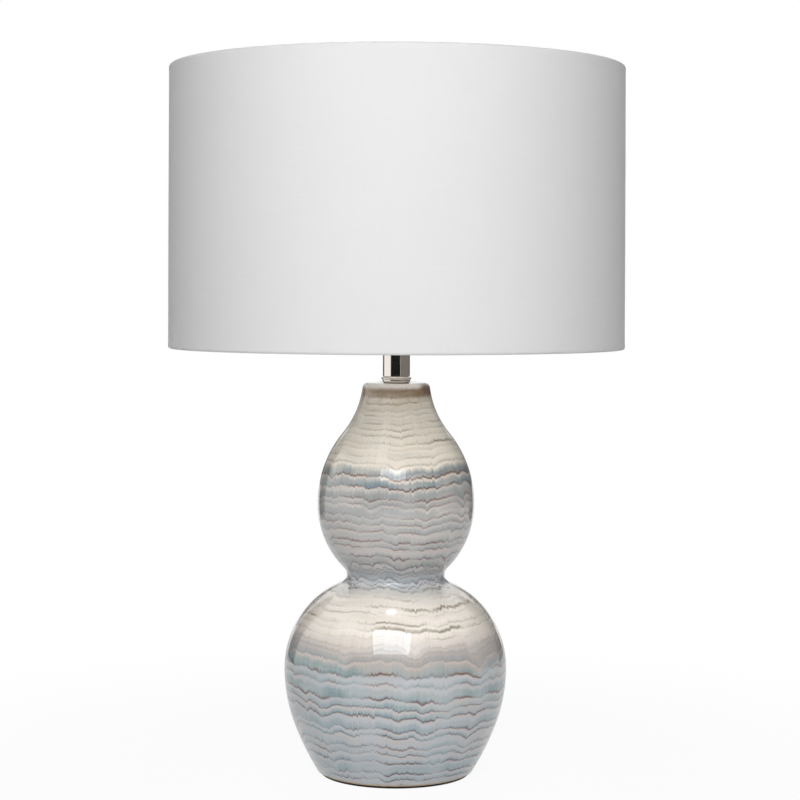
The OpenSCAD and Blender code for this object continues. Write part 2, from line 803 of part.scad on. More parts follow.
// Ferrule: drops over the cup to lock the harp's leg, and slides up the leg to free it
module ferrule(x) {
    r = ferrule_d / 2;
    top = ferrule_z + ferrule_h;
    color(nickel) translate([x, 0, 0]) rotate_extrude() {
        band(cup_d / 2 + run_play, r, ferrule_z, top - ferrule_top_t);
        band(wire_r + run_play, r, top - ferrule_top_t, top);
    }
}

module ferrule_left() {
    ferrule(-harp_x);
}

module ferrule_right() {
    ferrule(harp_x);
}

// Bowl-shaped cap with a threaded hub below and a straight skirt above
module socket_cap() {
    bowl = [[hub_r, bowl_z], bowl_r];
    inner = shrunk(bowl, cap_t);
    bore_r = rod_d / 2 + thread_play;
    color(nickel) difference() {
        rotate_extrude() polygon(concat(
            [[bore_r, cap_z], [hub_r, cap_z], on(bowl, -90)],
            arc_points(bowl, -90, 0),
            [[cap_d / 2, skirt_top], [cap_d / 2 - cap_t, skirt_top], on(inner, 0)],
            arc_points(inner, 0, -90),
            [[bore_r, inner[0][1] - inner[1]]]
        ));
        translate([0, 0, cap_z + hub_h / 2]) rotate([-90, 0, 0])
            cylinder(r = set_screw_d / 2 + run_play, h = hub_d);
    }
}

module set_screw() {
    start = rod_d / 2 + thread_play;
    slot_w = set_screw_d / 4;
    color(brass) translate([0, start, cap_z + hub_h / 2]) rotate([-90, 0, 0]) difference() {
        cylinder(d = set_screw_d, h = set_screw_l);
        translate([-set_screw_d, -slot_w / 2, set_screw_l - slot_w])
            cube([2 * set_screw_d, slot_w, slot_w + cut]);
    }
}

// Notch at the front of the shell and the sleeve, open below, for the switch shaft
module shaft_notch() {
    translate([-notch_w / 2, -cap_d, shell_z - cut]) cube([notch_w, cap_d, shaft_z - shell_z + cut]);
    translate([0, 0, shaft_z]) upright() cylinder(d = notch_w, h = cap_d);
}

module socket_shell() {
    mouth_z = shell_top - mouth_bead_r;
    color(nickel) difference() {
        rotate_extrude() {
            band(shell_r - shell_t, shell_r, shell_z, shell_top);
            intersection() {
                translate([shell_r - shell_t, mouth_z]) circle(mouth_bead_r);
                band(shell_r - shell_t, cap_d, mouth_z - cap_d, mouth_z + cap_d);
            }
        }
        shaft_notch();
    }
}

module paper_sleeve() {
    color("burlywood") difference() {
        ring(sleeve_r - sleeve_t, sleeve_r, shell_z, shell_top + sleeve_proud);
        shaft_notch();
    }
}

// Pockets for the terminal screws, the shaft's bore and the two holes for the wires
module core_holes() {
    pocket_r = terminal_head_d / 2 + run_play + terminal_head_t / 2;
    for (side = [0, 180]) rotate([0, 0, side]) {
        translate([terminal_x, 0, shaft_z]) rotate([0, 90, 0]) cylinder(r = pocket_r, h = core_r);
        translate([terminal_x - terminal_shank_l - run_play, 0, shaft_z]) rotate([0, 90, 0])
            cylinder(r = terminal_shank_d / 2 + run_play, h = terminal_shank_l + core_r);
        translate([core_r / 2, 0, core_z - cut]) cylinder(d = wire_hole_d, h = core_h / 4);
    }
    translate([0, -shaft_in, shaft_z]) upright() cylinder(r = shaft_d / 2 + run_play, h = core_r);
}

module socket_core() {
    color([0.12, 0.11, 0.11]) difference() {
        rotate_extrude() polygon([
            [0, core_z],
            [core_r - core_foot_t, core_z],
            [core_r - core_foot_t, core_foot_z],
            [core_r, core_foot_z],
            [core_r, core_top],
            [0, core_top]
        ]);
        core_holes();
    }
}

module screw_shell() {
    r = holder_d / 2;
    lip_r = r - holder_d / 8;
    color(brass) rotate_extrude() {
        band(r, r + holder_t, core_top, core_top + holder_h);
        band(lip_r, r + holder_t, core_top, core_top + holder_t);
    }
}

// Springy brass tongue that rises to the bulb's button
module centre_contact() {
    foot_end = contact_foot_l - contact_back;
    ramp_end = contact_front - contact_tip_l;
    skew = contact_t * (ramp_end - foot_end) / contact_rise;
    color(brass) translate([0, contact_w / 2, core_top]) upright() linear_extrude(contact_w)
        polygon([
            [-contact_back, 0],
            [foot_end, 0],
            [ramp_end, contact_rise - contact_t],
            [contact_front, contact_rise - contact_t],
            [contact_front, contact_rise],
            [ramp_end - skew, contact_rise],
            [foot_end - skew, contact_t],
            [-contact_back, contact_t]
        ]);
}

module terminal_screws() {
    slot_w = terminal_head_t / 2;
    color(brass) for (side = [0, 180])
        rotate([0, 0, side]) translate([terminal_x, 0, shaft_z]) rotate([0, 90, 0]) difference() {
            union() {
                cylinder(d = terminal_head_d, h = terminal_head_t);
                translate([0, 0, -terminal_shank_l]) cylinder(d = terminal_shank_d, h = terminal_shank_l);
            }
            translate([-terminal_head_d, -slot_w / 2, slot_w])
                cube([2 * terminal_head_d, slot_w, slot_w + cut]);
        }
}

module switch_shaft() {
    color(brass) translate([0, -shaft_in - run_play, shaft_z]) upright()
        cylinder(d = shaft_d, h = shaft_l - shaft_in);
}

// Fluted knob on the end of the switch shaft
module switch_knob() {
    color([0.12, 0.11, 0.11]) translate([0, -knob_y, shaft_z]) upright() difference() {
        cylinder(d = knob_d, h = knob_l);
        translate([0, 0, -cut])
            cylinder(r = shaft_d / 2 + thread_play, h = shaft_l + run_play - knob_y + cut);
        for (i = [0:knob_flutes - 1])
            rotate([0, 0, i * 360 / knob_flutes]) translate([knob_d / 2 + flute_d / 4, 0, knob_l / 6])
                cylinder(d = flute_d, h = knob_l);
    }
}

// Outline of the bulb's glass moved inwards, from height z_low up
function bulb_points(by, z_low) = let (joint = towards(bulb_round, bulb_neck)) concat(
    [[0, z_low], [bulb_neck_r - by, z_low], [bulb_neck_r - by, bulb_neck_z]],
    arc_points(shrunk(bulb_neck, -by), 180, 180 + joint),
    arc_points(shrunk(bulb_round, by), joint, 90)
);

module bulb_glass() {
    color([0.95, 0.95, 0.93]) rotate_extrude() {
        difference() {
            polygon(bulb_points(0, bulb_glass_z));
            polygon(bulb_points(glass_t, bulb_glass_z + glass_t));
        }
        band(0, bulb_cap_d / 2 - glass_t, bulb_glass_z - spigot_h, bulb_glass_z + glass_t / 2);
    }
}

module bulb_cap() {
    r = bulb_cap_d / 2;
    color(nickel) rotate_extrude() difference() {
        polygon([
            [0, bulb_cap_z],
            [insulator_r, bulb_cap_z],
            [r, bulb_cap_z + bulb_taper_h],
            [r, bulb_glass_z],
            [0, bulb_glass_z]
        ]);
        band(-cut, r - glass_t + run_play, bulb_glass_z - spigot_h - run_play, bulb_glass_z + cut);
    }
}

module bulb_contact() {
    color([0.2, 0.2, 0.2]) rotate_extrude() polygon([
        [0, bulb_z],
        [button_r, bulb_z],
        [button_r, bulb_z + button_h],
        [insulator_r, bulb_cap_z],
        [0, bulb_cap_z]
    ]);
}

// Rim of the shade in section: the linen rolled round the wire, from the outside to the lining's inner face
module rim_roll(rim_z, side) {
    difference() {
        translate([rim_r, rim_z]) circle(roll_r);
        translate([rim_r, rim_z]) circle(roll_r - linen_t);
        translate([lining_inner_r - glue_t, side > 0 ? rim_z - roll_r : rim_z]) square(roll_r);
    }
}

// Linen in one piece: the drum's wall and both rolled rims, notched where the spider's arms come through
module shade_linen() {
    notch = arm_d + 2 * rest_gap;
    color(linen) difference() {
        rotate_extrude() {
            band(shade_r - linen_t, shade_r, bottom_rim_z, top_rim_z);
            rim_roll(top_rim_z, 1);
            rim_roll(bottom_rim_z, -1);
        }
        for (i = [0:arm_count - 1])
            rotate([0, 0, 90 + i * 360 / arm_count])
                translate([rim_r - roll_r - cut, -notch / 2, top_rim_z - roll_r - cut])
                    cube([roll_r + cut, notch, roll_r + cut + arm_d / 2]);
    }
}

module shade_lining() {
    wire_x = lining_inner_r - rim_r;
    edge = sqrt(pow(rim_wire_r + rest_gap, 2) - pow(wire_x, 2));
    color("white") ring(lining_inner_r, lining_r, bottom_rim_z + edge, top_rim_z - edge);
}

// Welded wire spider: the washer, the arms and the top rim's wire
module shade_spider() {
    washer_r = washer_d / 2;
    arm_path = concat(
        [[[washer_r - arm_d, arm_z], 0], [on(arm_bend, -90), 0]],
        stations(arm_bend, -90, arm_slope - 90),
        [[[rim_r, top_rim_z], arm_slope]]
    );
    color(nickel) {
        ring(washer_hole_d / 2, washer_r, washer_z, washer_z + washer_t);
        rim_wire(top_rim_z);
        for (i = [0:arm_count - 1]) rotate([0, 0, 90 + i * 360 / arm_count]) bent_wire(arm_path, arm_d / 2);
    }
}

module rim_wire(z) {
    translate([0, 0, z]) rotate_extrude() translate([rim_r, 0]) circle(rim_wire_r);
}

module bottom_ring() {
    color(nickel) rim_wire(bottom_rim_z);
}

// Turned finial: a flat base, a cove, a ball and a blind threaded hole
module finial() {
    base_r = finial_base_d / 2;
    ball_z = finial_h - ball_r;
    color(nickel) translate([0, 0, finial_z]) rotate_extrude() difference() {
        union() {
            band(0, base_r, 0, finial_base_t);
            band(0, finial_neck_r, 0, ball_z);
            difference() {
                band(0, finial_neck_r + cove_r, finial_base_t, finial_base_t + cove_r);
                translate([finial_neck_r + cove_r, finial_base_t + cove_r]) circle(cove_r);
            }
            intersection() {
                translate([0, ball_z]) circle(ball_r);
                band(0, ball_r, ball_z - ball_r, finial_h);
            }
        }
        band(-cut, stud_d / 2 + run_play, -cut, stud_h - washer_t - rest_gap);
    }
}

ceramic_body();
felt_pad();
base_plate();
lock_washer();
base_nut();
cord_bushing();
threaded_rod();
seal_washer();
collar_ring();
neck_tube();
neck_nut();
harp_saddle();
harp_wire();
harp_seat();
ferrule_left();
ferrule_right();
socket_cap();
set_screw();
socket_shell();
paper_sleeve();
socket_core();
screw_shell();
centre_contact();
terminal_screws();
switch_shaft();
switch_knob();
bulb_glass();
bulb_cap();
bulb_contact();
shade_linen();
shade_lining();
shade_spider();
bottom_ring();
finial();
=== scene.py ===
"""Double gourd table lamp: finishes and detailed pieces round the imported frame, laid out as an add-on."""
import math

import bpy
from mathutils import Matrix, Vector


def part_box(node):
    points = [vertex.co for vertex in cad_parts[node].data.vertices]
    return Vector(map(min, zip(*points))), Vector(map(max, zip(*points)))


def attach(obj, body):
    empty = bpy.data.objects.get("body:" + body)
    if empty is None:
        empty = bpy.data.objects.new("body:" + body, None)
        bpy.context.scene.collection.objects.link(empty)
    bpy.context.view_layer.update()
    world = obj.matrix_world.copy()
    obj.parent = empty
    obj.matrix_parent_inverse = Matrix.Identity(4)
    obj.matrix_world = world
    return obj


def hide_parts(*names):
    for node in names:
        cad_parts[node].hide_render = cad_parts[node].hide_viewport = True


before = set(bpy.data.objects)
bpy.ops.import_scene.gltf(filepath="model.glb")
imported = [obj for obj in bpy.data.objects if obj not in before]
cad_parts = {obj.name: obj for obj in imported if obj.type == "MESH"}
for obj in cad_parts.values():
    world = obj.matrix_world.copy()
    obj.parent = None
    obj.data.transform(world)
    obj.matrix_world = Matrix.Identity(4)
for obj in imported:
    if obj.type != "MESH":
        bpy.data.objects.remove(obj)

bl_info = {
    "name": "Double Gourd Table Lamp",
    "version": (1, 0, 0),
    "blender": (4, 5, 0),
    "location": "View3D > Sidebar > Lamp",
    "description": "Builds the ceramic body, neck, harp, holder, bulb and linen shade of a table lamp",
    "category": "Object",
}

MM = 0.001
FULL = 2 * math.pi
HALF_PI = math.pi / 2
WHITE = (1.0, 1.0, 1.0)
BACKFACING = 6  # output of the Geometry node

ROD_HOLE = 5.3 * MM  # radius that clears the threaded rod
THREAD_PITCH = 1.0 * MM
OUTLET = Vector((0.0, 0.085712, 0.034))  # where the cord leaves the body, and how far that hole points down
OUTLET_DROOP = math.radians(23.6544)
SHADE_RADIUS = 203.2 * MM  # outside of the drum
GLAZE_TOP = 0.350  # height at which the glaze's colour ramps end
KEY_LIGHT = ((-0.12, -1.42, 1.46), (0.0, -0.06, 0.30), (1.24, 1.05))  # place, target and size


# ---------------------------------------------------------------- sizes and colours

def length(name, description, default):
    """A size in metres that shows in the scene's own unit."""
    return bpy.props.FloatProperty(
        name=name, description=description, default=default, min=0.0, precision=5,
        subtype="DISTANCE", unit="LENGTH")


def colour(name, description, default):
    """A colour that is stored as light, as Blender's colour fields are."""
    return bpy.props.FloatVectorProperty(
        name=name, description=description, default=default, size=3, min=0.0, max=1.0, subtype="COLOR")


def share(name, description, default):
    """A number from 0 to 1."""
    return bpy.props.FloatProperty(
        name=name, description=description, default=default, min=0.0, max=1.0, subtype="FACTOR")


def power(name, description, default):
    """The power of a lamp of the stage."""
    return bpy.props.FloatProperty(name=name, description=description, default=default, min=0.0, unit="POWER")


class GourdSizes(bpy.types.PropertyGroup):
    """Arcs that the ceramic body's outline is made of."""
    lower_r: length("Lower radius", "Radius of the lower lobe at its widest", 0.09905)
    lower_z: length("Lower height", "Height of the widest place of the lower lobe", 0.0938)
    lower_top_arc: length("Arc above", "Radius of the arc above the widest place", 0.0816)
    lower_low_arc: length("Arc below", "Radius of the arc below the widest place", 0.1391)
    flank_turn: bpy.props.FloatProperty(
        name="Flank turn", description="How far the lower arc turns before the flatter flank",
        default=math.radians(21.3), subtype="ANGLE", unit="ROTATION")
    flank_arc: length("Flank arc", "Radius of the flank's arc", 0.2442)
    waist_r: length("Waist radius", "Radius at the waist", 0.0437)
    waist_arc: length("Waist arc", "Radius of the waist's hollow", 0.0081)
    upper_r: length("Upper radius", "Radius of the upper lobe at its widest", 0.0702)
    upper_low_arc: length("Upper arc below", "Radius of the arc below the upper lobe's widest place", 0.0811)
    upper_top_arc: length("Upper arc above", "Radius of the arc above it", 0.0997)
    neck_r: length("Neck radius", "Smallest radius of the neck's hollow", 0.02955)
    neck_arc: length("Neck arc", "Radius of the neck's hollow", 0.0797)
    shoulder_arc: length("Shoulder", "Radius of the rounded top edge", 0.0053)
    foot_arc: length("Foot edge", "Radius of the foot's outer edge", 0.004)
    wall: length("Wall", "Thickness of the ceramic wall", 0.006)


class ShadeSizes(bpy.types.PropertyGroup):
    """The drum shade and its wires."""
    cloth: length("Cloth", "Thickness of the linen", 0.0006)
    roll: length("Roll", "Outer radius of the linen rolled round a rim's wire", 0.00235)
    turn_in: length("Turn-in", "How far the linen is tucked in past the wire", 0.0045)
    lap: length("Lap", "Width of the overlap at the back seam", 0.012)
    arm: length("Arm", "Diameter of a spider's arm", 0.0028)
    rim_wire: length("Rim wire", "Diameter of a rim's wire", 0.0032)


class GlazeColours(bpy.types.PropertyGroup):
    """Colours of the banded glaze and the clay."""
    # Ivory and cream are partly the glaze's own pale colours and partly painted light: they are made paler to
    # stand in for the light that falls from above on the lower lobe's shoulder and the upper lobe's top.
    ivory: colour("Ivory", "Pale warm glaze on the shoulder of the lower lobe", (0.94, 0.875, 0.795))
    cream: colour("Cream", "Warm glaze of the upper lobe's top", (0.96, 0.885, 0.765))
    taupe: colour("Taupe", "Brownish glaze of the neck", (0.66, 0.555, 0.415))
    umber: colour("Umber", "Dark tint where the glaze breaks at the neck", (0.23, 0.125, 0.05))
    mist: colour("Mist", "Pale cool glaze of the lower lobe", (0.51, 0.54, 0.575))
    fog: colour("Fog", "Pale neutral glaze of the upper lobe", (0.545, 0.525, 0.505))
    dim: colour("Dim", "Glaze just under the shoulder", (0.50, 0.455, 0.43))
    blush: colour("Blush", "Pale pinkish glaze under a line", (0.60, 0.535, 0.50))
    rose: colour("Rose", "Faint thread between two lines", (0.46, 0.35, 0.30))
    slate: colour("Slate", "Strong blue grey", (0.235, 0.275, 0.285))
    teal: colour("Teal", "Greenish blue grey", (0.195, 0.31, 0.32))
    sky: colour("Sky", "Light blue grey", (0.255, 0.36, 0.405))
    dove: colour("Dove", "Plain grey", (0.285, 0.31, 0.32))
    rust: colour("Rust", "Reddish brown line", (0.20, 0.115, 0.095))
    mauve: colour("Mauve", "Brownish violet line", (0.135, 0.10, 0.105))
    olive: colour("Olive", "Olive brown line", (0.22, 0.17, 0.09))
    clay: colour("Clay", "Bare fired clay of the foot", (0.52, 0.40, 0.27))


class FinishColours(bpy.types.PropertyGroup):
    """Colours of the other pieces."""
    linen: colour("Linen", "Cloth of the shade", (0.70, 0.70, 0.70))
    lining: colour("Lining", "Stiff white lining", (0.86, 0.86, 0.85))
    nickel: colour("Nickel", "Polished nickel plate", (0.90, 0.84, 0.775))
    zinc: colour("Zinc", "Zinc plated steel", (0.52, 0.53, 0.54))
    brass: colour("Brass", "Brass", (0.72, 0.50, 0.20))
    phenolic: colour("Black plastic", "Black moulded plastic", (0.012, 0.011, 0.011))
    rubber: colour("Rubber", "Dark rubber", (0.022, 0.021, 0.020))
    paper: colour("Paper", "Brown insulating paper", (0.42, 0.27, 0.13))
    felt: colour("Felt", "Dark felt", (0.014, 0.012, 0.011))
    frost: colour("Frosted glass", "White coated glass", (0.86, 0.86, 0.83))


class StageSettings(bpy.types.PropertyGroup):
    """Light and surroundings."""
    key_power: power("Key power", "Power of the large front light", 12.0)
    fill_power: power("Fill power", "Power of the low front light", 20.5)
    back_power: power("Back power", "Power of the light behind", 13.0)
    glow_power: power("Shade glow", "Power of the light that the shade passes down", 0.05)
    ambient: share("Ambient", "Strength of the even light from all round", 0.265)
    floor_glow: share("Floor glow", "Share of the floor's look that is plain white", 0.93)
    floor: colour("Floor", "Colour of the floor", (0.86, 0.86, 0.86))


# ---------------------------------------------------------------- finishes

class Value:
    """A socket of a finish's node tree. Python's operators on it add Math nodes."""

    def __init__(self, finish, socket):
        self.finish = finish
        self.socket = socket

    def __add__(self, other):
        return self.finish.maths("ADD", self, other)

    __radd__ = __add__

    def __sub__(self, other):
        return self.finish.maths("SUBTRACT", self, other)

    def __rsub__(self, other):
        return self.finish.maths("SUBTRACT", other, self)

    def __mul__(self, other):
        return self.finish.maths("MULTIPLY", self, other)

    __rmul__ = __mul__

    def __truediv__(self, other):
        return self.finish.maths("DIVIDE", self, other)

    def __rtruediv__(self, other):
        return self.finish.maths("DIVIDE", other, self)

    def __pow__(self, other):
        return self.finish.maths("POWER", self, other)

    def __gt__(self, other):
        return self.finish.maths("GREATER_THAN", self, other)

    def __lt__(self, other):
        return self.finish.maths("LESS_THAN", self, other)


class Finish:
    """A material under construction, or a world, with one method for every node."""

    def __init__(self, name, kind="materials"):
        self.made = getattr(bpy.data, kind).new(name)
        self.made.use_nodes = True
        self.tree = self.made.node_tree
        self.tree.nodes.clear()

    def node(self, kind, settings=None, inputs=None, output=0):
        """Adds a node, sets its settings, then its sockets, and returns one of its outputs."""
        made = self.tree.nodes.new("ShaderNode" + kind)
        for key, value in (settings or {}).items():
            if key == "stops":
                self.set_stops(made.color_ramp, value)
            else:
                setattr(made, key, value)
        for key, value in (inputs or {}).items():
            socket = made.inputs[key]
            if isinstance(value, Value):
                self.tree.links.new(value.socket, socket)
            elif value is not None:
                socket.default_value = value
        return Value(self, made.outputs[output]) if made.outputs else None

    def set_stops(self, ramp, stops):
        """Gives a colour ramp its stops, each a place and a grey or a colour."""
        while len(ramp.elements) > 1:
            ramp.elements.remove(ramp.elements[-1])
        for number, (place, tone) in enumerate(stops):
            stop = ramp.elements.new(place) if number else ramp.elements[0]
            stop.position = place
            stop.color = (tone, tone, tone, 1.0) if isinstance(tone, float) else (*tone, 1.0)

    def maths(self, operation, *values, clamp=False):
        return self.node("Math", {"operation": operation, "use_clamp": clamp}, dict(enumerate(values)))

    def clamp(self, value):
        return self.maths("ADD", value, 0.0, clamp=True)

    def ramp(self, value, stops):
        return self.node("ValToRGB", {"stops": stops}, {"Fac": value})

    def step(self, value, low, high):
        """Smooth step from 0 at low to 1 at high."""
        return self.node("MapRange", {"interpolation_type": "SMOOTHSTEP"},
                         {"Value": value, "From Min": low, "From Max": high})

    def mix(self, amount, first, second):
        """Colour between two colours. The amount is held between 0 and 1."""
        first, second = (part if isinstance(part, Value) else (*part, 1.0) for part in (first, second))
        return self.node("Mix", {"data_type": "RGBA"}, {"Factor": amount, 6: first, 7: second}, output=2)

    def place(self):
        """Object coordinates."""
        return self.node("TexCoord", output=3)

    def split(self, vector):
        made = self.tree.nodes.new("ShaderNodeSeparateXYZ")
        self.tree.links.new(vector.socket, made.inputs[0])
        return [Value(self, output) for output in made.outputs]

    def join(self, x, y, z):
        return self.node("CombineXYZ", None, {0: x, 1: y, 2: z})

    def stretched(self, vector, scale):
        return self.node("Mapping", None, {"Vector": vector, "Scale": scale})

    def noise(self, vector, scale=1.0, detail=2.0, rough=0.5):
        return self.node("TexNoise", None, {
            "Vector": vector, "Scale": scale, "Detail": detail, "Roughness": rough})

    def bump(self, height, distance, strength):
        return self.node("Bump", None, {"Height": height, "Distance": distance, "Strength": strength})

    def shown(self):
        """1 for what the camera, a reflection or glass shows directly, and 0 for light that only arrives."""
        path = self.tree.nodes.new("ShaderNodeLightPath")
        camera, glossy, through = (Value(self, path.outputs[f"Is {ray} Ray"]) for ray in (
            "Camera", "Glossy", "Transmission"))
        return self.maths("ADD", camera + glossy, through, clamp=True)

    def surface(self, **sockets):
        """Ends the finish in a Principled shader and returns the material."""
        named_sockets = {name.replace("_", " "): value for name, value in sockets.items()}
        self.end(self.node("BsdfPrincipled", None, named_sockets))
        return self.made

    def end(self, shader, output="OutputMaterial"):
        """Shows a shader."""
        self.node(output, None, {"Surface": shader})


# Zones of the glaze from the foot up: height in millimetres where each starts, and its number of lines
BAND_ZONES = ((6, 6), (57, 3), (83, 2), (104, 1), (115, 9), (168, 5), (190, 9), (257, 2), (279, 12), (346, 0))

# Olive strokes in the pale zones: height, half the thickness, and where across the front each starts and ends
STROKES = ((0.1400, 0.0017, -0.28, 0.62), (0.1555, 0.0013, -0.02, 0.88), (0.2960, 0.0013, 0.50, 0.93))


def band_lines():
    """Heights in metres of the lines that close the glaze's bands, uneven as the glaze runs."""
    lines = []
    for (start, count), (end, _) in zip(BAND_ZONES, BAND_ZONES[1:]):
        pitch = (end - start) / count
        lines += [(start + pitch * (k + 0.18 * math.sin(2.4 * (start + k)))) * MM for k in range(count)]
    return lines


def glaze_finish(palette):
    """Banded glaze: each band starts pale under a line, deepens downwards and ends in a thin dark jagged line."""
    glaze = Finish("banded_glaze")
    step, mix, clamp, noise = glaze.step, glaze.mix, glaze.clamp, glaze.noise
    place = glaze.place()
    x, y, z = glaze.split(place)
    radius = glaze.maths("SQRT", x * x + y * y) + 1e-5
    round_x, round_y = x / radius, y / radius

    def around(turns, rise):
        """Place on the turned surface, in cells: so many for each radian round it and each metre up it."""
        return glaze.join(round_x * turns, round_y * turns, z * rise)

    def runs(turns, rise, reach, seed):
        """Drips that pull the lines down in a V, with arches between them."""
        spot = glaze.node("VectorMath", {"operation": "ADD"}, {0: around(turns, rise), 1: (seed, seed, seed)})
        near = glaze.node("TexVoronoi", None, {"Vector": spot, "Scale": 1.0})
        return clamp(1.0 - near / reach)

    swell = noise(around(1.3, 5.0), 1.0, 1.5) - 0.5
    wave = noise(around(5.0, 24.0)) - 0.5
    jag = noise(around(15.0, 70.0), 1.0, 3.0, 0.65) - 0.5
    comb = noise(around(85.0, 14.0), 1.0, 1.0) - 0.5
    waisted = step(glaze.maths("ABSOLUTE", z - 0.183), 0.017, 0.007)
    calm = step(z, 0.118, 0.135) * step(z, 0.175, 0.160) + step(z, 0.272, 0.290)
    loose = (0.80 + waisted) * (1.0 - 0.6 * calm)
    drips = (runs(3.6, 17.0, 0.68, 5.0) ** 2.0 * 0.115 + runs(8.5, 40.0, 0.6, 11.0) ** 1.5 * 0.038) * radius
    height = z + swell * 0.012 + (wave * 0.0036 + jag * 0.0036 + drips) * loose + comb * 0.0045 - 0.0012

    heights = band_lines()
    count = len(heights)
    lines = [(line / GLAZE_TOP, (number + 1) / count) for number, line in enumerate(heights)]
    half = count // 2
    share_up = height / GLAZE_TOP
    lower = glaze.ramp(share_up, [(0.0, 0.0), *lines[:half + 1]])
    upper = glaze.ramp(share_up, [*lines[half:], (1.0, (count + 1) / count)])
    above = share_up > lines[half][0]
    bands = (lower * (1.0 - above) + upper * above) * count
    band = glaze.maths("FLOOR", bands)
    rise = bands - band

    def drawn_lot(seed):
        """A number from 0 to 1 for each band."""
        return glaze.node("TexWhiteNoise", {"noise_dimensions": "1D"}, {"W": band + seed})

    def up_the_body(stops):
        """A ramp over the height, of numbers or of the palette's colours by name."""
        return glaze.ramp(share_up, [
            (at, getattr(palette, tone) if isinstance(tone, str) else tone) for at, tone in stops])

    certain = up_the_body([
        (0.232, 0.0), (0.238, 1.0), (0.262, 1.0), (0.270, 0.0),
        (0.292, 0.0), (0.298, 1.0), (0.322, 1.0), (0.330, 0.0),
        (0.728, 0.0), (0.734, 1.0), (0.788, 1.0), (0.795, 0.0)])
    force_lot, reach_lot, warmth_lot = drawn_lot(7.0), drawn_lot(41.0), drawn_lot(90.0)
    patch = step(noise(around(1.9, 24.0), 1.0, 1.5), 0.38, 0.60)
    breaks = step(noise(around(3.4, 45.0)), 0.38, 0.58)

    pale = up_the_body([
        (0.30, "mist"), (0.325, "dim"), (0.348, "dim"), (0.385, "ivory"),
        (0.47, "ivory"), (0.50, "mist"), (0.545, "dove"), (0.575, "fog"),
        (0.735, "fog"), (0.765, "blush"), (0.80, "cream"), (0.90, "cream"), (0.955, "taupe")])
    warm = up_the_body([
        (0.03, "mist"), (0.20, "blush"), (0.345, "blush"), (0.40, "ivory"),
        (0.47, "ivory"), (0.50, "mist"), (0.60, "blush"), (0.78, "cream")])
    deep = up_the_body([
        (0.16, "sky"), (0.25, "teal"), (0.325, "teal"),
        (0.35, "dove"), (0.37, "taupe"), (0.455, "taupe"), (0.48, "sky"),
        (0.53, "slate"), (0.56, "dove"), (0.728, "dove"), (0.736, "sky"),
        (0.764, "slate"), (0.792, "slate"), (0.800, "taupe"), (0.97, "taupe"),
        (0.99, "umber")])
    line = up_the_body([
        (0.22, "mauve"), (0.27, "rust"), (0.33, "rust"),
        (0.36, "olive"), (0.45, "olive"), (0.49, "mauve"), (0.56, "mauve"),
        (0.60, "rust"), (0.792, "rust"), (0.80, "olive")])
    boldness = up_the_body([
        (0.10, 1.0), (0.16, 0.80), (0.27, 0.82), (0.313, 0.85), (0.326, 0.24), (0.46, 0.44), (0.49, 1.0),
        (0.545, 1.0), (0.58, 0.85), (0.70, 0.80), (0.73, 0.85), (0.782, 0.85), (0.794, 0.20), (0.83, 0.32),
        (1.0, 0.40)])
    fullness = up_the_body([
        (0.03, 0.95), (0.24, 0.9), (0.27, 1.0), (0.325, 1.0), (0.345, 0.5), (0.46, 0.34), (0.49, 1.0),
        (0.545, 1.0), (0.58, 0.90), (0.728, 0.90), (0.736, 1.0), (0.79, 1.0), (0.80, 0.30), (0.9, 0.38),
        (1.0, 0.8)])

    force = 0.45 + 0.55 * (force_lot + (1.0 - force_lot) * certain)
    streaks = noise(glaze.join(round_x * 1.3, round_y * 1.3, height * 330.0), 1.0, 1.0)
    tints = noise(glaze.join(round_x * 1.1, round_y * 1.1, height * 210.0 + 9.0), 1.0, 1.0)
    threads = noise(around(70.0, 5.0))
    from_thread = glaze.maths("ABSOLUTE", rise - 0.62 - 0.3 * (warmth_lot - 0.5) + comb * 0.2)
    reach = 0.26 + 0.42 * (reach_lot + (0.75 - reach_lot) * certain)
    plateau = step(rise + comb * 0.14 - reach, 0.34, -0.24)
    edge = step(rise + comb * 0.14, 0.27, 0.05)
    strokes = step(noise(around(1.5, 90.0), 1.0, 1.0), 0.52, 0.60)
    uneven = 0.30 + 0.95 * breaks + calm * (1.6 * strokes - 0.35)
    strength = clamp(edge * boldness * (0.30 + 0.70 * force) * uneven)
    layers = [
        ((warmth_lot - 0.25) * (0.4 + 1.5 * breaks), warm),
        (step(from_thread, 0.10, 0.01) * (0.12 + 0.4 * breaks) * boldness, palette.rose),
        (clamp((streaks - 0.46) * 3.6) * (0.10 + 0.14 * calm), palette.taupe),
        (plateau * (0.2 + 0.8 * force) * (0.40 + 0.65 * patch) * fullness, deep),
        (clamp((tints - 0.53) * 4.0) * 0.42, warm),
        (clamp((0.47 - tints) * 4.0) * (0.34 - 0.16 * calm), palette.sky),
        (clamp((threads - 0.47) * 3.4) * (0.10 + 0.34 * plateau), palette.mist),
        (step(rise + comb * 0.30, 0.78, 0.94) * (0.15 + 0.5 * breaks), warm),
        (step(rise, 0.86, 1.0) * boldness * (0.15 + 0.4 * breaks), palette.rose),
        (strength, line),
    ]
    wavy = round_x + wave * 0.3
    for at, thick, start, end in STROKES:
        near = step(glaze.maths("ABSOLUTE", height + comb * 0.0014 - at), thick, thick * 0.3)
        ends = step(wavy, start, start + 0.2) * step(wavy, end + 0.1, end)
        layers.append((near * ends * (0.35 + 0.5 * breaks), palette.olive))
    ragged = z + wave * 0.004 + comb * 0.004
    spot = step(round_x + jag * 0.3, 0.62, 0.90)
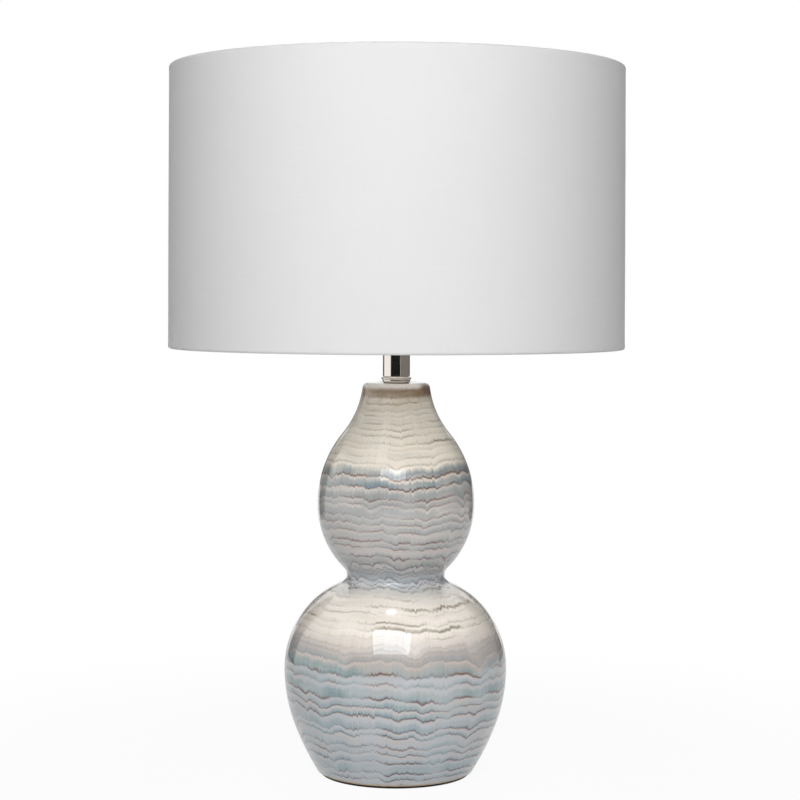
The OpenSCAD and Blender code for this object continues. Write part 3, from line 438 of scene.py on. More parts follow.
    # Painted light: the rounded rim and its top face are painted pale ivory to stand in for the light and
    # reflections that they catch under the shade.
    rim = step(z + jag * 0.0020 - spot * 0.003, 0.3415, 0.3455)
    layers += [
        (step(ragged, 0.3335, 0.3378) * (0.62 + 0.25 * step(round_x, -0.3, 1.0)), palette.umber),
        (rim, palette.ivory),
        (spot * step(z, 0.337, 0.340) * (1.0 - 0.6 * rim), palette.rust),
    ]
    body = pale
    for amount, tone in layers:
        body = mix(amount, body, tone)

    bare = step(z + jag * 0.0010, 0.0042, 0.0036)
    grain = noise(place, 900.0, 3.0)
    clay = mix(grain * 0.5, palette.clay, palette.taupe)
    ridge_height = strength * 0.5 + noise(place, 240.0) * 0.12 + bare * grain
    return glaze.surface(
        Base_Color=mix(bare, body, clay),
        Roughness=0.32 + bare * 0.5,
        Specular_IOR_Level=0.15,
        Coat_Weight=1.0 - bare,
        Coat_Roughness=0.03,
        Coat_IOR=1.6,
        Normal=glaze.bump(ridge_height, 0.00010, 0.6),
    )


def linen_finish(colours):
    """Plain weave with a few thicker threads each way, read from the cloth's own map in metres."""
    linen = Finish("shade_linen_weave")
    cloth = linen.node("UVMap", {"uv_map": "cloth"})
    along, up, _ = linen.split(cloth)
    pitch = 0.00062
    warp = linen.maths("SINE", along * (FULL / pitch))
    weft = linen.maths("SINE", up * (FULL / pitch))
    slub_along = linen.noise(linen.stretched(cloth, (42.0, 1300.0, 1.0)))
    slub_up = linen.noise(linen.stretched(cloth, (1300.0, 36.0, 1.0)))
    cloud = linen.noise(linen.stretched(cloth, (14.0, 14.0, 1.0)))
    uneven = (slub_along - 0.5) * 0.075 + (slub_up - 0.5) * 0.06 + (cloud - 0.5) * 0.02
    tone = linen.clamp(0.5 + uneven * 4.0 + warp * weft * 0.03)
    darker = tuple(part * 0.90 for part in colours.linen)
    lighter = tuple(min(1.0, part * 1.07) for part in colours.linen)
    threads = warp * 0.25 + weft * 0.25 + slub_along + slub_up
    return linen.surface(
        Base_Color=linen.mix(tone, darker, lighter),
        Roughness=0.92,
        Specular_IOR_Level=0.15,
        Sheen_Weight=0.08,
        Sheen_Roughness=0.5,
        Normal=linen.bump(threads, 0.00012, 0.35),
    )


def metal_finish(name, tone, rough, scratch, brushed=False):
    """Plated or bare metal with faint handling marks."""
    metal = Finish(name)
    place = metal.place()
    marks = metal.noise(place, 90.0, 4.0, 0.6)
    cells = (900.0, 900.0, 60.0) if brushed else (700.0, 700.0, 700.0)
    fine = metal.noise(metal.stretched(place, cells))
    dull = tuple(part * 0.93 for part in tone)
    return metal.surface(
        Base_Color=metal.mix(marks, dull, tone),
        Metallic=1.0,
        Roughness=rough + (marks - 0.5) * scratch + (fine - 0.5) * scratch,
        Normal=metal.bump(fine, 0.00002, 0.15 if brushed else 0.04),
    )


def moulded_finish(name, tone, rough, grain_size, depth, speckle=0.25):
    """Plastic, rubber or paper with a moulded or fibrous grain."""
    moulded = Finish(name)
    place = moulded.place()
    grain = moulded.noise(place, grain_size, 4.0, 0.6)
    cloud = moulded.noise(place, grain_size * 0.06)
    dark = tuple(part * (1.0 - speckle) for part in tone)
    light = tuple(min(1.0, part * (1.0 + speckle)) for part in tone)
    return moulded.surface(
        Base_Color=moulded.mix(moulded.clamp(grain * 0.7 + cloud * 0.3), dark, light),
        Roughness=rough + (cloud - 0.5) * 0.1,
        Normal=moulded.bump(grain, depth, 0.5),
    )


def felt_finish(tone):
    """Pressed wool felt: tangled fibres with paler flecks."""
    felt = Finish("pressed_felt")
    place = felt.place()
    tangle = felt.noise(place, 1500.0, 4.0, 0.7)
    strands = felt.noise(felt.stretched(place, (300.0, 1900.0, 900.0)), 1.0, 3.0, 0.7)
    cloud = felt.noise(place, 60.0)
    pale = tuple(min(1.0, part * 2.6) for part in tone)
    fleck = felt.clamp((strands - 0.55) * 5.0) * 0.7 + tangle * 0.25 + cloud * 0.1
    return felt.surface(
        Base_Color=felt.mix(felt.clamp(fleck), tone, pale),
        Roughness=0.95,
        Sheen_Weight=0.3,
        Sheen_Roughness=0.6,
        Specular_IOR_Level=0.2,
        Normal=felt.bump(tangle + strands, 0.0002, 0.8),
    )


# ---------------------------------------------------------------- modelling

def arc(centre, radius, start, end, steps):
    """Points (radius, height) along an arc between two angles, both ends included."""
    return [(centre[0] + radius * math.cos(start + (end - start) * i / steps),
             centre[1] + radius * math.sin(start + (end - start) * i / steps)) for i in range(steps + 1)]


def low_edge(x, z, radius, steps=1):
    """Rounds an outline's lower outer corner, on the way up, or bevels it where it has one step."""
    return arc((x - radius, z + radius), radius, -HALF_PI, 0.0, steps)


def top_edge(x, z, radius, steps=1):
    """Rounds or bevels an outline's upper outer corner."""
    return arc((x - radius, z - radius), radius, 0.0, HALF_PI, steps)


def beside(x, z, *offsets):
    """Points that stand off from a place, each by (out, up) in millimetres."""
    return [(x + out * MM, z + up * MM) for out, up in offsets]


def only(piece=None):
    """Ends edit mode and selects one piece, or nothing."""
    if bpy.context.object and bpy.context.object.mode != "OBJECT":
        bpy.ops.object.mode_set(mode="OBJECT")
    bpy.ops.object.select_all(action="DESELECT")
    if piece:
        piece.select_set(True)
        bpy.context.view_layer.objects.active = piece


def named(name):
    """Ends edit mode and names the piece."""
    if bpy.context.object.mode != "OBJECT":
        bpy.ops.object.mode_set(mode="OBJECT")
    piece = bpy.context.object
    piece.name = piece.data.name = name
    return piece


def settle(piece, place=None, turn=None):
    """Moves and turns a piece, and puts its place, turn and scale into its mesh."""
    piece.location = place or piece.location
    piece.rotation_euler = turn or piece.rotation_euler
    only(piece)
    bpy.ops.object.transform_apply(location=True, rotation=True, scale=True)
    return piece


def smooth(piece, angle=0.6):
    """Shades a piece smooth except at its sharp edges."""
    only(piece)
    bpy.ops.object.shade_smooth_by_angle(angle=angle)
    return piece


def drawn(points):
    """Draws a chain of edges through points, vertex by vertex, and leaves it selected in edit mode."""
    only()
    bpy.ops.mesh.primitive_plane_add(size=0.01)
    bpy.ops.object.mode_set(mode="EDIT")
    bpy.ops.mesh.select_all(action="SELECT")
    bpy.ops.mesh.merge(type="CENTER")
    bpy.ops.transform.translate(value=points[0])
    for before, after in zip(points, points[1:]):
        step = tuple(b - a for a, b in zip(before, after))
        bpy.ops.mesh.extrude_vertices_move(TRANSFORM_OT_translate={"value": step})
    bpy.ops.mesh.select_all(action="SELECT")


def tidy_mesh():
    """Joins points that lie on each other, drops loose ones and turns the faces outwards, in edit mode."""
    bpy.ops.mesh.select_all(action="SELECT")
    bpy.ops.mesh.remove_doubles(threshold=0.000002)
    bpy.ops.mesh.delete_loose()
    bpy.ops.mesh.select_all(action="SELECT")
    bpy.ops.mesh.normals_make_consistent(inside=False)


def turned(name, outline, sides=96, angle=0.6):
    """Turns an outline of (radius, height) points about the lamp's axis, as on a lathe."""
    drawn([(radius, 0.0, height) for radius, height in outline])
    bpy.ops.mesh.spin(steps=sides, angle=FULL, center=(0, 0, 0), axis=(0, 0, 1))
    tidy_mesh()
    return smooth(named(name), angle)


def ring(name, outline, sides=96, angle=0.6):
    """Turns an outline that runs up the outside and back down the inside."""
    return turned(name, [*outline, outline[0]], sides, angle)


def wrapped(name, outline, sides, lap_sides, rise):
    """Sweeps a sheet's outline once round from the back, then laps its end over its start."""
    drawn([(0.0, radius, height) for radius, height in outline])
    bpy.ops.mesh.spin(steps=sides, angle=FULL, center=(0, 0, 0), axis=(0, 0, 1), use_auto_merge=False)
    bpy.ops.object.mode_set(mode="OBJECT")
    last = len(outline) - 1
    for vertex in bpy.context.object.data.vertices:
        if vertex.select:
            near = nearest(outline, vertex)
            before, after = outline[max(near - 1, 0)], outline[min(near + 1, last)]
            run = (after[0] - before[0], after[1] - before[1])
            reach = rise / math.hypot(*run)
            vertex.co = (0.0, outline[near][0] - run[1] * reach, outline[near][1] + run[0] * reach)
    bpy.ops.object.mode_set(mode="EDIT")
    bpy.ops.mesh.spin(
        steps=lap_sides, angle=FULL * lap_sides / sides, center=(0, 0, 0), axis=(0, 0, 1), use_auto_merge=False)
    bpy.ops.mesh.select_all(action="SELECT")
    bpy.ops.mesh.normals_make_consistent(inside=False)
    return named(name)


def nearest(outline, vertex):
    """Number of the outline's point that a turned piece's vertex came from."""
    spot = (math.hypot(vertex.co.x, vertex.co.y), vertex.co.z)
    return min(range(len(outline)), key=lambda k: math.dist(outline[k], spot))


def bent(name, path, thickness, round_steps):
    """Bends a wire of the given thickness along a path."""
    drawn(path)
    named(name)
    bpy.ops.object.convert(target="CURVE")
    wire = bpy.context.object.data
    wire.bevel_depth = thickness / 2
    wire.bevel_resolution = round_steps
    wire.use_fill_caps = True
    bpy.ops.object.convert(target="MESH")
    bpy.ops.object.mode_set(mode="EDIT")
    tidy_mesh()
    return smooth(named(name))


def apply_modifier(piece, kind, **options):
    """Adds a modifier, sets it and applies it."""
    only(piece)
    modifier = piece.modifiers.new(kind.title(), kind)
    for key, value in options.items():
        setattr(modifier, key, value)
    bpy.ops.object.modifier_apply(modifier=modifier.name)


def cut_away(piece, tool, operation="DIFFERENCE"):
    """Cuts a tool's shape out of a piece, or unites or crosses the two, and removes the tool."""
    apply_modifier(piece, "BOOLEAN", operation=operation, solver="EXACT", object=tool)
    bpy.data.objects.remove(tool)


def joined(name, pieces):
    """Joins pieces into the first."""
    only(pieces[0])
    for piece in pieces:
        piece.select_set(True)
    bpy.ops.object.join()
    return named(name)


def added(name, add, **options):
    """Adds one of Blender's own shapes, with its place, turn and scale put into its mesh."""
    only()
    add(**options)
    return settle(named(name))


def rod_between(name, start, end, radius, sides):
    """A plain rod from one point to another, to drill with."""
    start, end = Vector(start), Vector(end)
    return added(name, bpy.ops.mesh.primitive_cylinder_add, vertices=sides, radius=radius,
                 depth=(end - start).length, location=(start + end) / 2,
                 rotation=(end - start).to_track_quat("Z", "Y").to_euler())


def block(name, low, high, bevel=0.0):
    """A block between two corners, with rounded edges if asked."""
    size = [b - a for a, b in zip(low, high)]
    middle = [(a + b) / 2 for a, b in zip(low, high)]
    piece = added(name, bpy.ops.mesh.primitive_cube_add, size=1, location=middle, scale=size)
    if bevel:
        apply_modifier(piece, "BEVEL", width=bevel, segments=4, limit_method="ANGLE")
        smooth(piece)
    return piece


def finished(piece, material, body, node):
    """Gives a piece its finish, its body and the node that it stands for."""
    piece.data.materials.clear()
    piece.data.materials.append(material)
    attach(piece, body)
    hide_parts(node)


def corners(node):
    """Lowest and highest corner of a node, each as numbers."""
    low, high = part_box(node)
    return tuple(low), tuple(high)


def lamp_settings():
    return bpy.context.scene.gourd_lamp


FINISHES = {}


def finish_of(name):
    """Makes a finish once and hands it out after that."""
    if name not in FINISHES:
        lamp = lamp_settings()
        tones = lamp.colours
        makers = {
            "glaze": lambda: glaze_finish(lamp.glaze),
            "linen": lambda: linen_finish(tones),
            "lining": lambda: moulded_finish("white_lining", tones.lining, 0.45, 260.0, 0.00003, 0.03),
            "nickel": lambda: metal_finish("polished_nickel", tones.nickel, 0.075, 0.03),
            "zinc": lambda: metal_finish("zinc_plate", tones.zinc, 0.33, 0.12, True),
            "brass": lambda: metal_finish("plain_brass", tones.brass, 0.24, 0.08, True),
            "phenolic": lambda: moulded_finish("black_moulding", tones.phenolic, 0.28, 1400.0, 0.00004),
            "rubber": lambda: moulded_finish("dark_rubber", tones.rubber, 0.62, 1100.0, 0.00006),
            "paper": lambda: moulded_finish("brown_paper", tones.paper, 0.85, 800.0, 0.00008, 0.12),
            "frost": lambda: moulded_finish("frosted_glass", tones.frost, 0.42, 500.0, 0.00001, 0.02),
            "felt": lambda: felt_finish(tones.felt),
        }
        FINISHES[name] = makers[name]()
    return FINISHES[name]


# ---------------------------------------------------------------- ceramic body

def gourd_chain(size):
    """The outline's arcs, each (centre, radius), found from the lower lobe's widest place up and down."""
    def above(chain, radius, x):
        (cx, cz), r = chain
        return x, cz + math.sqrt((r + radius) ** 2 - (x - cx) ** 2)

    lower_low = ((size.lower_r - size.lower_low_arc, size.lower_z), size.lower_low_arc)
    lower_top = ((size.lower_r - size.lower_top_arc, size.lower_z), size.lower_top_arc)
    reach = size.lower_low_arc - size.flank_arc
    flank = ((lower_low[0][0] + reach * math.cos(size.flank_turn),
              lower_low[0][1] - reach * math.sin(size.flank_turn)), size.flank_arc)
    waist = (above(lower_top, size.waist_arc, size.waist_r + size.waist_arc), size.waist_arc)
    upper_z = above(waist, size.upper_low_arc, size.upper_r - size.upper_low_arc)[1]
    upper_low = ((size.upper_r - size.upper_low_arc, upper_z), size.upper_low_arc)
    upper_top = ((size.upper_r - size.upper_top_arc, upper_z), size.upper_top_arc)
    neck = (above(upper_top, size.neck_arc, size.neck_r + size.neck_arc), size.neck_arc)
    return lower_low, lower_top, flank, waist, upper_low, upper_top, neck


def towards(first, second):
    """Angle of the line from one arc's centre to another's."""
    return math.atan2(second[0][1] - first[0][1], second[0][0] - first[0][0])


def gourd_side(size, inset, start, end, finer=1.0):
    """The outline moved inwards by inset, from an angle of the flank to an angle of the neck's hollow."""
    lower_low, lower_top, flank, waist, upper_low, upper_top, neck = gourd_chain(size)
    to_waist = towards(lower_top, waist)
    from_waist = towards(upper_low, waist)
    to_neck = towards(upper_top, neck)

    def stretch(chain, grow, first, last, steps):
        return arc(chain[0], chain[1] + grow, first, last, max(2, int(steps * finer)))[1:]

    return [
        *stretch(flank, -inset, start, -size.flank_turn, 22),
        *stretch(lower_low, -inset, -size.flank_turn, 0.0, 24),
        *stretch(lower_top, -inset, 0.0, to_waist, 44),
        *stretch(waist, inset, math.pi + to_waist, math.pi + from_waist, 18),
        *stretch(upper_low, -inset, from_waist, 0.0, 34),
        *stretch(upper_top, -inset, 0.0, to_neck, 34),
        *stretch(neck, inset, math.pi + to_neck, end, 26),
    ]


class LAMP_OT_gourd(bpy.types.Operator):
    """Turn the hollow ceramic body, drill its outlet and glaze it"""
    bl_idname = "gourd_lamp.gourd"
    bl_label = "Ceramic body"

    def execute(self, context):
        size = lamp_settings().gourd
        low, high = corners("ceramic_body")
        base, top = low[2], high[2]
        chain = gourd_chain(size)
        flank, neck = chain[2], chain[6]
        edge_z = base + size.foot_arc
        edge_x = flank[0][0] + math.sqrt((flank[1] - size.foot_arc) ** 2 - (flank[0][1] - edge_z) ** 2)
        edge = ((edge_x, edge_z), size.foot_arc)
        lip_z = top - size.shoulder_arc
        lip_x = neck[0][0] - math.sqrt((neck[1] + size.shoulder_arc) ** 2 - (neck[0][1] - lip_z) ** 2)
        lip = ((lip_x, lip_z), size.shoulder_arc)
        rebate_r = edge_x - 10.5 * MM
        ledge_r, ledge_z, floor_z, hole_r = rebate_r - 6 * MM, 11 * MM, 18 * MM, 6.2 * MM
        ceiling = top - size.wall
        start_in = math.asin((floor_z - flank[0][1]) / (flank[1] - size.wall))
        end_in = math.pi + math.asin((neck[0][1] - ceiling) / (neck[1] + size.wall))
        outside = [
            *arc(edge[0], edge[1], -HALF_PI, towards(flank, edge), 10),
            *gourd_side(size, 0.0, towards(flank, edge), math.pi + towards(lip, neck)),
            *arc(lip[0], lip[1], towards(lip, neck), HALF_PI, 12)[1:],
        ]
        start = (flank[0][0] + (flank[1] - size.wall) * math.cos(start_in), floor_z)
        inside = [start, *gourd_side(size, size.wall, start_in, end_in, 0.5)]
        piece = ring("gourd_body", [
            (rebate_r + 0.6 * MM, base), *outside,
            (hole_r + 0.5 * MM, top), (hole_r, top - 0.5 * MM), (hole_r, ceiling),
            *reversed(inside),
            *beside(ledge_r, floor_z, (1, 0), (0, -1)), (ledge_r, ledge_z), (rebate_r, ledge_z),
            (rebate_r, base + 0.6 * MM),
        ], 192, 0.9)
        out = Vector((0.0, math.cos(OUTLET_DROOP), -math.sin(OUTLET_DROOP)))
        cut_away(piece, rod_between("outlet_drill", OUTLET - out * 16 * MM, OUTLET + out * 10 * MM, 5.2 * MM, 64))
        smooth(piece, 0.9)
        finished(piece, finish_of("glaze"), "base", "ceramic_body")
        return {"FINISHED"}


class LAMP_OT_foot(bpy.types.Operator):
    """Turn the felt pad and lay it under the foot"""
    bl_idname = "gourd_lamp.foot"
    bl_label = "Felt foot"

    def execute(self, context):
        low, high = corners("felt_pad")
        radius, top = high[0], high[2]
        soft = 0.5 * MM
        across = [radius * k / 6 for k in range(6)]
        pad = turned("foot_felt", [
            *[(x, 0.0) for x in across], *low_edge(radius, 0.0, soft, 4),
            *top_edge(radius, top, soft, 4), *[(x, top) for x in reversed(across)]], 128, 1.2)
        finished(pad, finish_of("felt"), "base", "felt_pad")
        return {"FINISHED"}


class LAMP_OT_outlet(bpy.types.Operator):
    """Turn the soft bushing of the cord's outlet and seat it in the wall"""
    bl_idname = "gourd_lamp.outlet"
    bl_label = "Cord outlet"

    def execute(self, context):
        bore, body, flange = 3.2 * MM, 4.95 * MM, 7.5 * MM
        piece = ring("outlet_bushing", [
            (bore + 0.3 * MM, -8.8 * MM), (body, -8.8 * MM), (5.8 * MM, -6.6 * MM), (body, -6.6 * MM),
            (body, 0.1 * MM),
            *arc((flange - 0.9 * MM, 1.1 * MM), 0.9 * MM, -HALF_PI, HALF_PI, 10),
            (bore + 1.1 * MM, 2.0 * MM), *arc((bore + 0.8 * MM, 1.3 * MM), 0.8 * MM, HALF_PI, math.pi, 5),
            (bore, -8.5 * MM),
        ], 64)
        settle(piece, OUTLET, (-HALF_PI - OUTLET_DROOP, 0.0, 0.0))
        finished(piece, finish_of("rubber"), "base", "cord_bushing")
        return {"FINISHED"}


class LAMP_OT_neck(bpy.types.Operator):
    """Turn the seal, the beaded collar and the neck tube, and make the nuts"""
    bl_idname = "gourd_lamp.neck"
    bl_label = "Neck"

    def execute(self, context):
        nickel = finish_of("nickel")
        low, high = corners("seal_washer")
        soft, seal_r = 0.25 * MM, high[0] - 0.4 * MM
        seal = ring("neck_seal", [
            (ROD_HOLE, low[2]), *low_edge(seal_r, low[2], soft, 3), *top_edge(seal_r, high[2], soft, 3),
            (ROD_HOLE, high[2])])
        finished(seal, finish_of("rubber"), "base", "seal_washer")

        low, high = corners("collar_ring")
        bead = 1.62 * MM
        bead_x, bead_z = high[0] - bead, high[2] - 0.35 * MM - bead
        skirt_r, skirt_z = 12.4 * MM, low[2] - 0.5 * MM
        collar = ring("neck_collar", [
            (ROD_HOLE, low[2]), (skirt_r - 0.32 * MM, low[2]), (skirt_r - 0.32 * MM, skirt_z),
            *low_edge(skirt_r, skirt_z, 0.12 * MM, 3), *beside(skirt_r, bead_z, (0, -1.05), (-0.35, -0.85)),
            *arc((bead_x, bead_z), bead, -math.radians(48), HALF_PI, 20),
            *beside(bead_x, high[2], (-0.4, -0.35), (-0.5, -0.1), (-0.6, 0)), (ROD_HOLE, high[2])], 160)
        finished(collar, nickel, "base", "collar_ring")

        low, high = corners("neck_tube")
        outer, inner = high[0], high[0] - 1.0 * MM
        tube = ring("neck_sleeve", [
            (inner, low[2]), *low_edge(outer, low[2], 0.15 * MM),
            *[(outer, low[2] + (high[2] - low[2]) * k / 8) for k in range(1, 8)],
            *top_edge(outer, high[2], 0.3 * MM, 5), (ROD_HOLE, high[2]),
            (ROD_HOLE, high[2] - 1.5 * MM), (inner, high[2] - 1.5 * MM)], 160)
        finished(tube, nickel, "base", "neck_tube")
        hex_nut("neck_locknut", "neck_nut", nickel)
        hex_nut("foot_nut", "base_nut", finish_of("zinc"))
        return {"FINISHED"}


def teeth(foot, pitch, count, start_r, middle_r):
    """A thread's outline: so many turns up from a height, between two radii."""
    return [(radius, foot + pitch * (k + part)) for k in range(count) for part, radius in (
        (0.0, start_r), (0.5, middle_r))]


def hex_nut(name, node, material):
    """A hexagonal nut with turned corners and a threaded bore."""
    low, high = corners(node)
    foot, height, over = low[2], high[2] - low[2], 1 * MM
    nut = added(name, bpy.ops.mesh.primitive_cylinder_add, vertices=6, radius=high[0], depth=height,
                location=(0, 0, foot + height / 2), rotation=(0, 0, math.pi / 6))
    flat_r, corner_r = high[0] * math.cos(math.pi / 6), high[0] + 0.2 * MM
    cone = turned("nut_cone", [
        (0.0, foot - over), (flat_r - 0.2 * MM, foot - over), (flat_r, foot), (corner_r, foot + 0.8 * MM),
        (corner_r, high[2] - 0.8 * MM), (flat_r, high[2]), (flat_r - 0.2 * MM, high[2] + over),
        (0.0, high[2] + over)])
    cut_away(nut, cone, "INTERSECT")
    turns, bore = int(height / THREAD_PITCH), 5.06 * MM
    thread = turned("nut_thread", [
        (0.0, foot - over), (bore + 0.5 * MM, foot - over),
        *teeth(foot, height / turns, turns, bore + 0.45 * MM, bore),
        (bore + 0.5 * MM, high[2] + over), (0.0, high[2] + over)], 48)
    cut_away(nut, thread)
    smooth(nut, 0.5)
    finished(nut, material, "base", node)


# ---------------------------------------------------------------- harp

class LAMP_OT_harp(bpy.types.Operator):
    """Bend the harp's wire, crimp its seat, cut its stud and turn the ferrules"""
    bl_idname = "gourd_lamp.harp"
    bl_label = "Harp"

    def execute(self, context):
        nickel = finish_of("nickel")
        low, high = corners("harp_wire")
        seat_low, seat_high = corners("harp_seat")
        thick = 3.2 * MM
        foot_x = 28.5 * MM
        bar_z = high[2] - thick / 2
        bend_z = low[2] + 34 * MM
        lean, turn_in = math.radians(16), math.radians(12)
        bend_r, side_r, corner_r = 30 * MM, 150 * MM, 28 * MM
        leg = arc((foot_x + bend_r, bend_z), bend_r, math.pi, math.pi - lean, 8)
        leg_x, leg_z = leg[-1]
        curved = side_r * (math.sin(lean) + math.sin(turn_in)) + corner_r * (1 - math.sin(turn_in))
        rise = bar_z - leg_z - curved
        knee = (leg_x + rise * math.tan(lean), leg_z + rise)
        side_c = (knee[0] - side_r * math.cos(lean), knee[1] + side_r * math.sin(lean))
        side = arc(side_c, side_r, -lean, turn_in, 26)
        corner_c = (side_c[0] + (side_r - corner_r) * math.cos(turn_in),
                    side_c[1] + (side_r - corner_r) * math.sin(turn_in))
        corner = arc(corner_c, corner_r, turn_in, HALF_PI, 20)
        half = [(foot_x, low[2]), (foot_x, low[2] + 12 * MM), *leg, *side, *corner[1:]]
        path = [(x, 0.0, z) for x, z in half] + [(-x, 0.0, z) for x, z in reversed(half)]
        finished(bent("harp_bow", path, thick, 8), nickel, "base", "harp_wire")

        disc_z = seat_high[2] - 11 * MM
        crimp = block("crimp", (-8 * MM, -3.5 * MM, seat_low[2]), (8 * MM, 3.5 * MM, disc_z + 1 * MM), 0.7 * MM)
        for x in (-5 * MM, 0.0, 5 * MM):
            for side_y in (-1, 1):
                start, end = (x, side_y * 3.0 * MM, bar_z), (x, side_y * 4.6 * MM, bar_z)
                cut_away(crimp, rod_between("dent", start, end, 1.1 * MM, 20))
        start, end = (-9 * MM, 0, bar_z), (9 * MM, 0, bar_z)
        cut_away(crimp, rod_between("wire_way", start, end, thick / 2 + 0.03 * MM, 40))
        smooth(crimp)
        top = seat_high[2]
        disc_r, stud = 8 * MM, 3.175 * MM
        disc = turned("seat_disc", [
            (0.0, disc_z), *low_edge(disc_r, disc_z, 0.5 * MM, 4),
            *top_edge(disc_r, disc_z + 2 * MM, 0.6 * MM, 5),
            *beside(stud, disc_z, (0.2, 2), (0, 2.2)),
            *teeth(disc_z + 2.6 * MM, 0.9 * MM, 8, stud, stud - 0.42 * MM),
            *beside(stud, top, (-0.4, -0.2), (-0.6, 0)), (0.0, top)])
        finished(joined("harp_top_seat", [disc, crimp]), nickel, "base", "harp_seat")

        for node in ("ferrule_left", "ferrule_right"):
            low, high = corners(node)
            outer, bore, neck = (high[0] - low[0]) / 2, 3.15 * MM, 1.65 * MM
            sleeve = ring("cap_" + node, [
                (bore, low[2]), *low_edge(outer, low[2], 0.25 * MM),
                *beside(outer, low[2], (0, 1.6), (-0.35, 1.95), (-0.35, 2.3), (-0.1, 2.6)),
                *beside(outer, high[2], (-0.1, -3)), *top_edge(outer - 0.1 * MM, high[2], 2 * MM, 8),
                (neck, high[2]), (neck, high[2] - 2 * MM), (bore, high[2] - 2 * MM)], 64)
            settle(sleeve, ((low[0] + high[0]) / 2, 0.0, 0.0))
            finished(sleeve, nickel, node, node)
        return {"FINISHED"}


# ---------------------------------------------------------------- lamp holder, switch and bulb

class LAMP_OT_holder(bpy.types.Operator):
    """Spin the holder's cap and shell, roll its paper sleeve and make the switch knob"""
    bl_idname = "gourd_lamp.holder"
    bl_label = "Lamp holder"

    def execute(self, context):
        nickel = finish_of("nickel")
        low, high = corners("socket_cap")
        bore, hub, outer, bowl, metal = 5.05 * MM, 7.4 * MM, high[0], 10.2 * MM, 0.9 * MM
        bowl_z = high[2] - 6 * MM
        cap = ring("holder_cap", [
            (bore, low[2]), *low_edge(hub, low[2], 0.3 * MM), *beside(hub, bowl_z - bowl, (0, -0.8), (0.2, 0)),
            *arc((hub, bowl_z), bowl, -math.radians(84), 0.0, 20),
            *beside(outer, high[2], (0, -3.4), (-0.3, -3.1), (-0.3, -2.5), (0, -2.2)),
            *top_edge(outer, high[2], 0.3 * MM), *beside(outer - metal, high[2], (0.1, 0), (0, -0.2)),
            *arc((hub, bowl_z), bowl - metal, 0.0, -HALF_PI, 14), (bore, bowl_z - bowl + metal)], 128)
        drill_z = low[2] + 4.25 * MM
        cut_away(cap, rod_between("screw_drill", (0, 0, drill_z), (0, 14.8 * MM, drill_z), 1.55 * MM, 32))
        smooth(cap)
        finished(cap, nickel, "base", "socket_cap")

        low, high = corners("socket_shell")
        outer, metal, bead = 16.4 * MM, 0.5 * MM, 0.9 * MM
        mouth = high[2] - bead
        ridges = []
        for k in range(3):
            foot = low[2] + 22 * MM + k * 3.2 * MM
            ridges += [(outer, foot), *arc((outer - 0.2 * MM, foot + 0.9 * MM), 0.55 * MM, -1.0, 1.0, 6),
                       (outer, foot + 1.8 * MM)]
        shell = ring("holder_shell", [
            (outer - metal, low[2]), (outer, low[2]), (outer, low[2] + 8 * MM), *ridges,
            (outer, mouth - 1.2 * MM),
            *arc((outer - metal, mouth), bead, -math.radians(60), HALF_PI, 12),
            (outer - metal, mouth - 1.2 * MM)], 128)
        knob_low, knob_high = corners("switch_knob")
        shaft_z = (knob_low[2] + knob_high[2]) / 2
        cut_away(shell, notch_tool(low[2], shaft_z))
        smooth(shell)
        finished(shell, nickel, "base", "socket_shell")

        low, high = corners("paper_sleeve")
        outer, card = high[0], 0.7 * MM
        sleeve = ring("holder_sleeve", [
            (outer - card, low[2]), (outer, low[2]), (outer, (low[2] + high[2]) / 2),
            *top_edge(outer, high[2], 0.2 * MM), (outer - card, high[2])])
        cut_away(sleeve, notch_tool(low[2], shaft_z))
        smooth(sleeve)
        finished(sleeve, finish_of("paper"), "base", "paper_sleeve")

        knob = fluted_knob("turn_knob", (knob_high[0] - knob_low[0]) / 2, knob_high[1] - knob_low[1])
        settle(knob, (0.0, knob_high[1], shaft_z), (HALF_PI, 0.0, 0.0))
        finished(knob, finish_of("phenolic"), "switch", "switch_knob")
        return {"FINISHED"}


def notch_tool(low_z, shaft_z):
    """The shape of the slot for the switch shaft, open below."""
    half, front, back = 4 * MM, -22 * MM, -8 * MM
    slot = block("slot", (-half, front, low_z - 1 * MM), (half, back, shaft_z))
    cut_away(slot, rod_between("arch", (0, front, shaft_z), (0, back, shaft_z), half, 48), "UNION")
    return slot


def fluted_knob(name, radius, length_along):
    """A knob with flutes round its grip, a plain collar below and a dished end, along +Z."""
    knob = turned(name, [
        (0.0, 0.0), *beside(radius, 0.0, (-0.6, 0), (-0.1, 0.5), (-0.1, 1.9), (-0.5, 2.3), (0, 2.7)),
        *top_edge(radius, length_along, 1.2 * MM, 6), *beside(radius, length_along, (-2.2, -0.3)),
        (0.0, length_along - 0.5 * MM)])
    flutes = 12
    for k in range(flutes):
        turn = FULL * k / flutes
        x, y = (radius + 0.45 * MM) * math.cos(turn), (radius + 0.45 * MM) * math.sin(turn)
        cut_away(knob, rod_between("flute", (x, y, 3.0 * MM), (x, y, length_along + 1 * MM), 0.9 * MM, 16))
    apply_modifier(knob, "BEVEL", width=0.12 * MM, segments=2, limit_method="ANGLE", angle_limit=0.7)
    return smooth(knob)


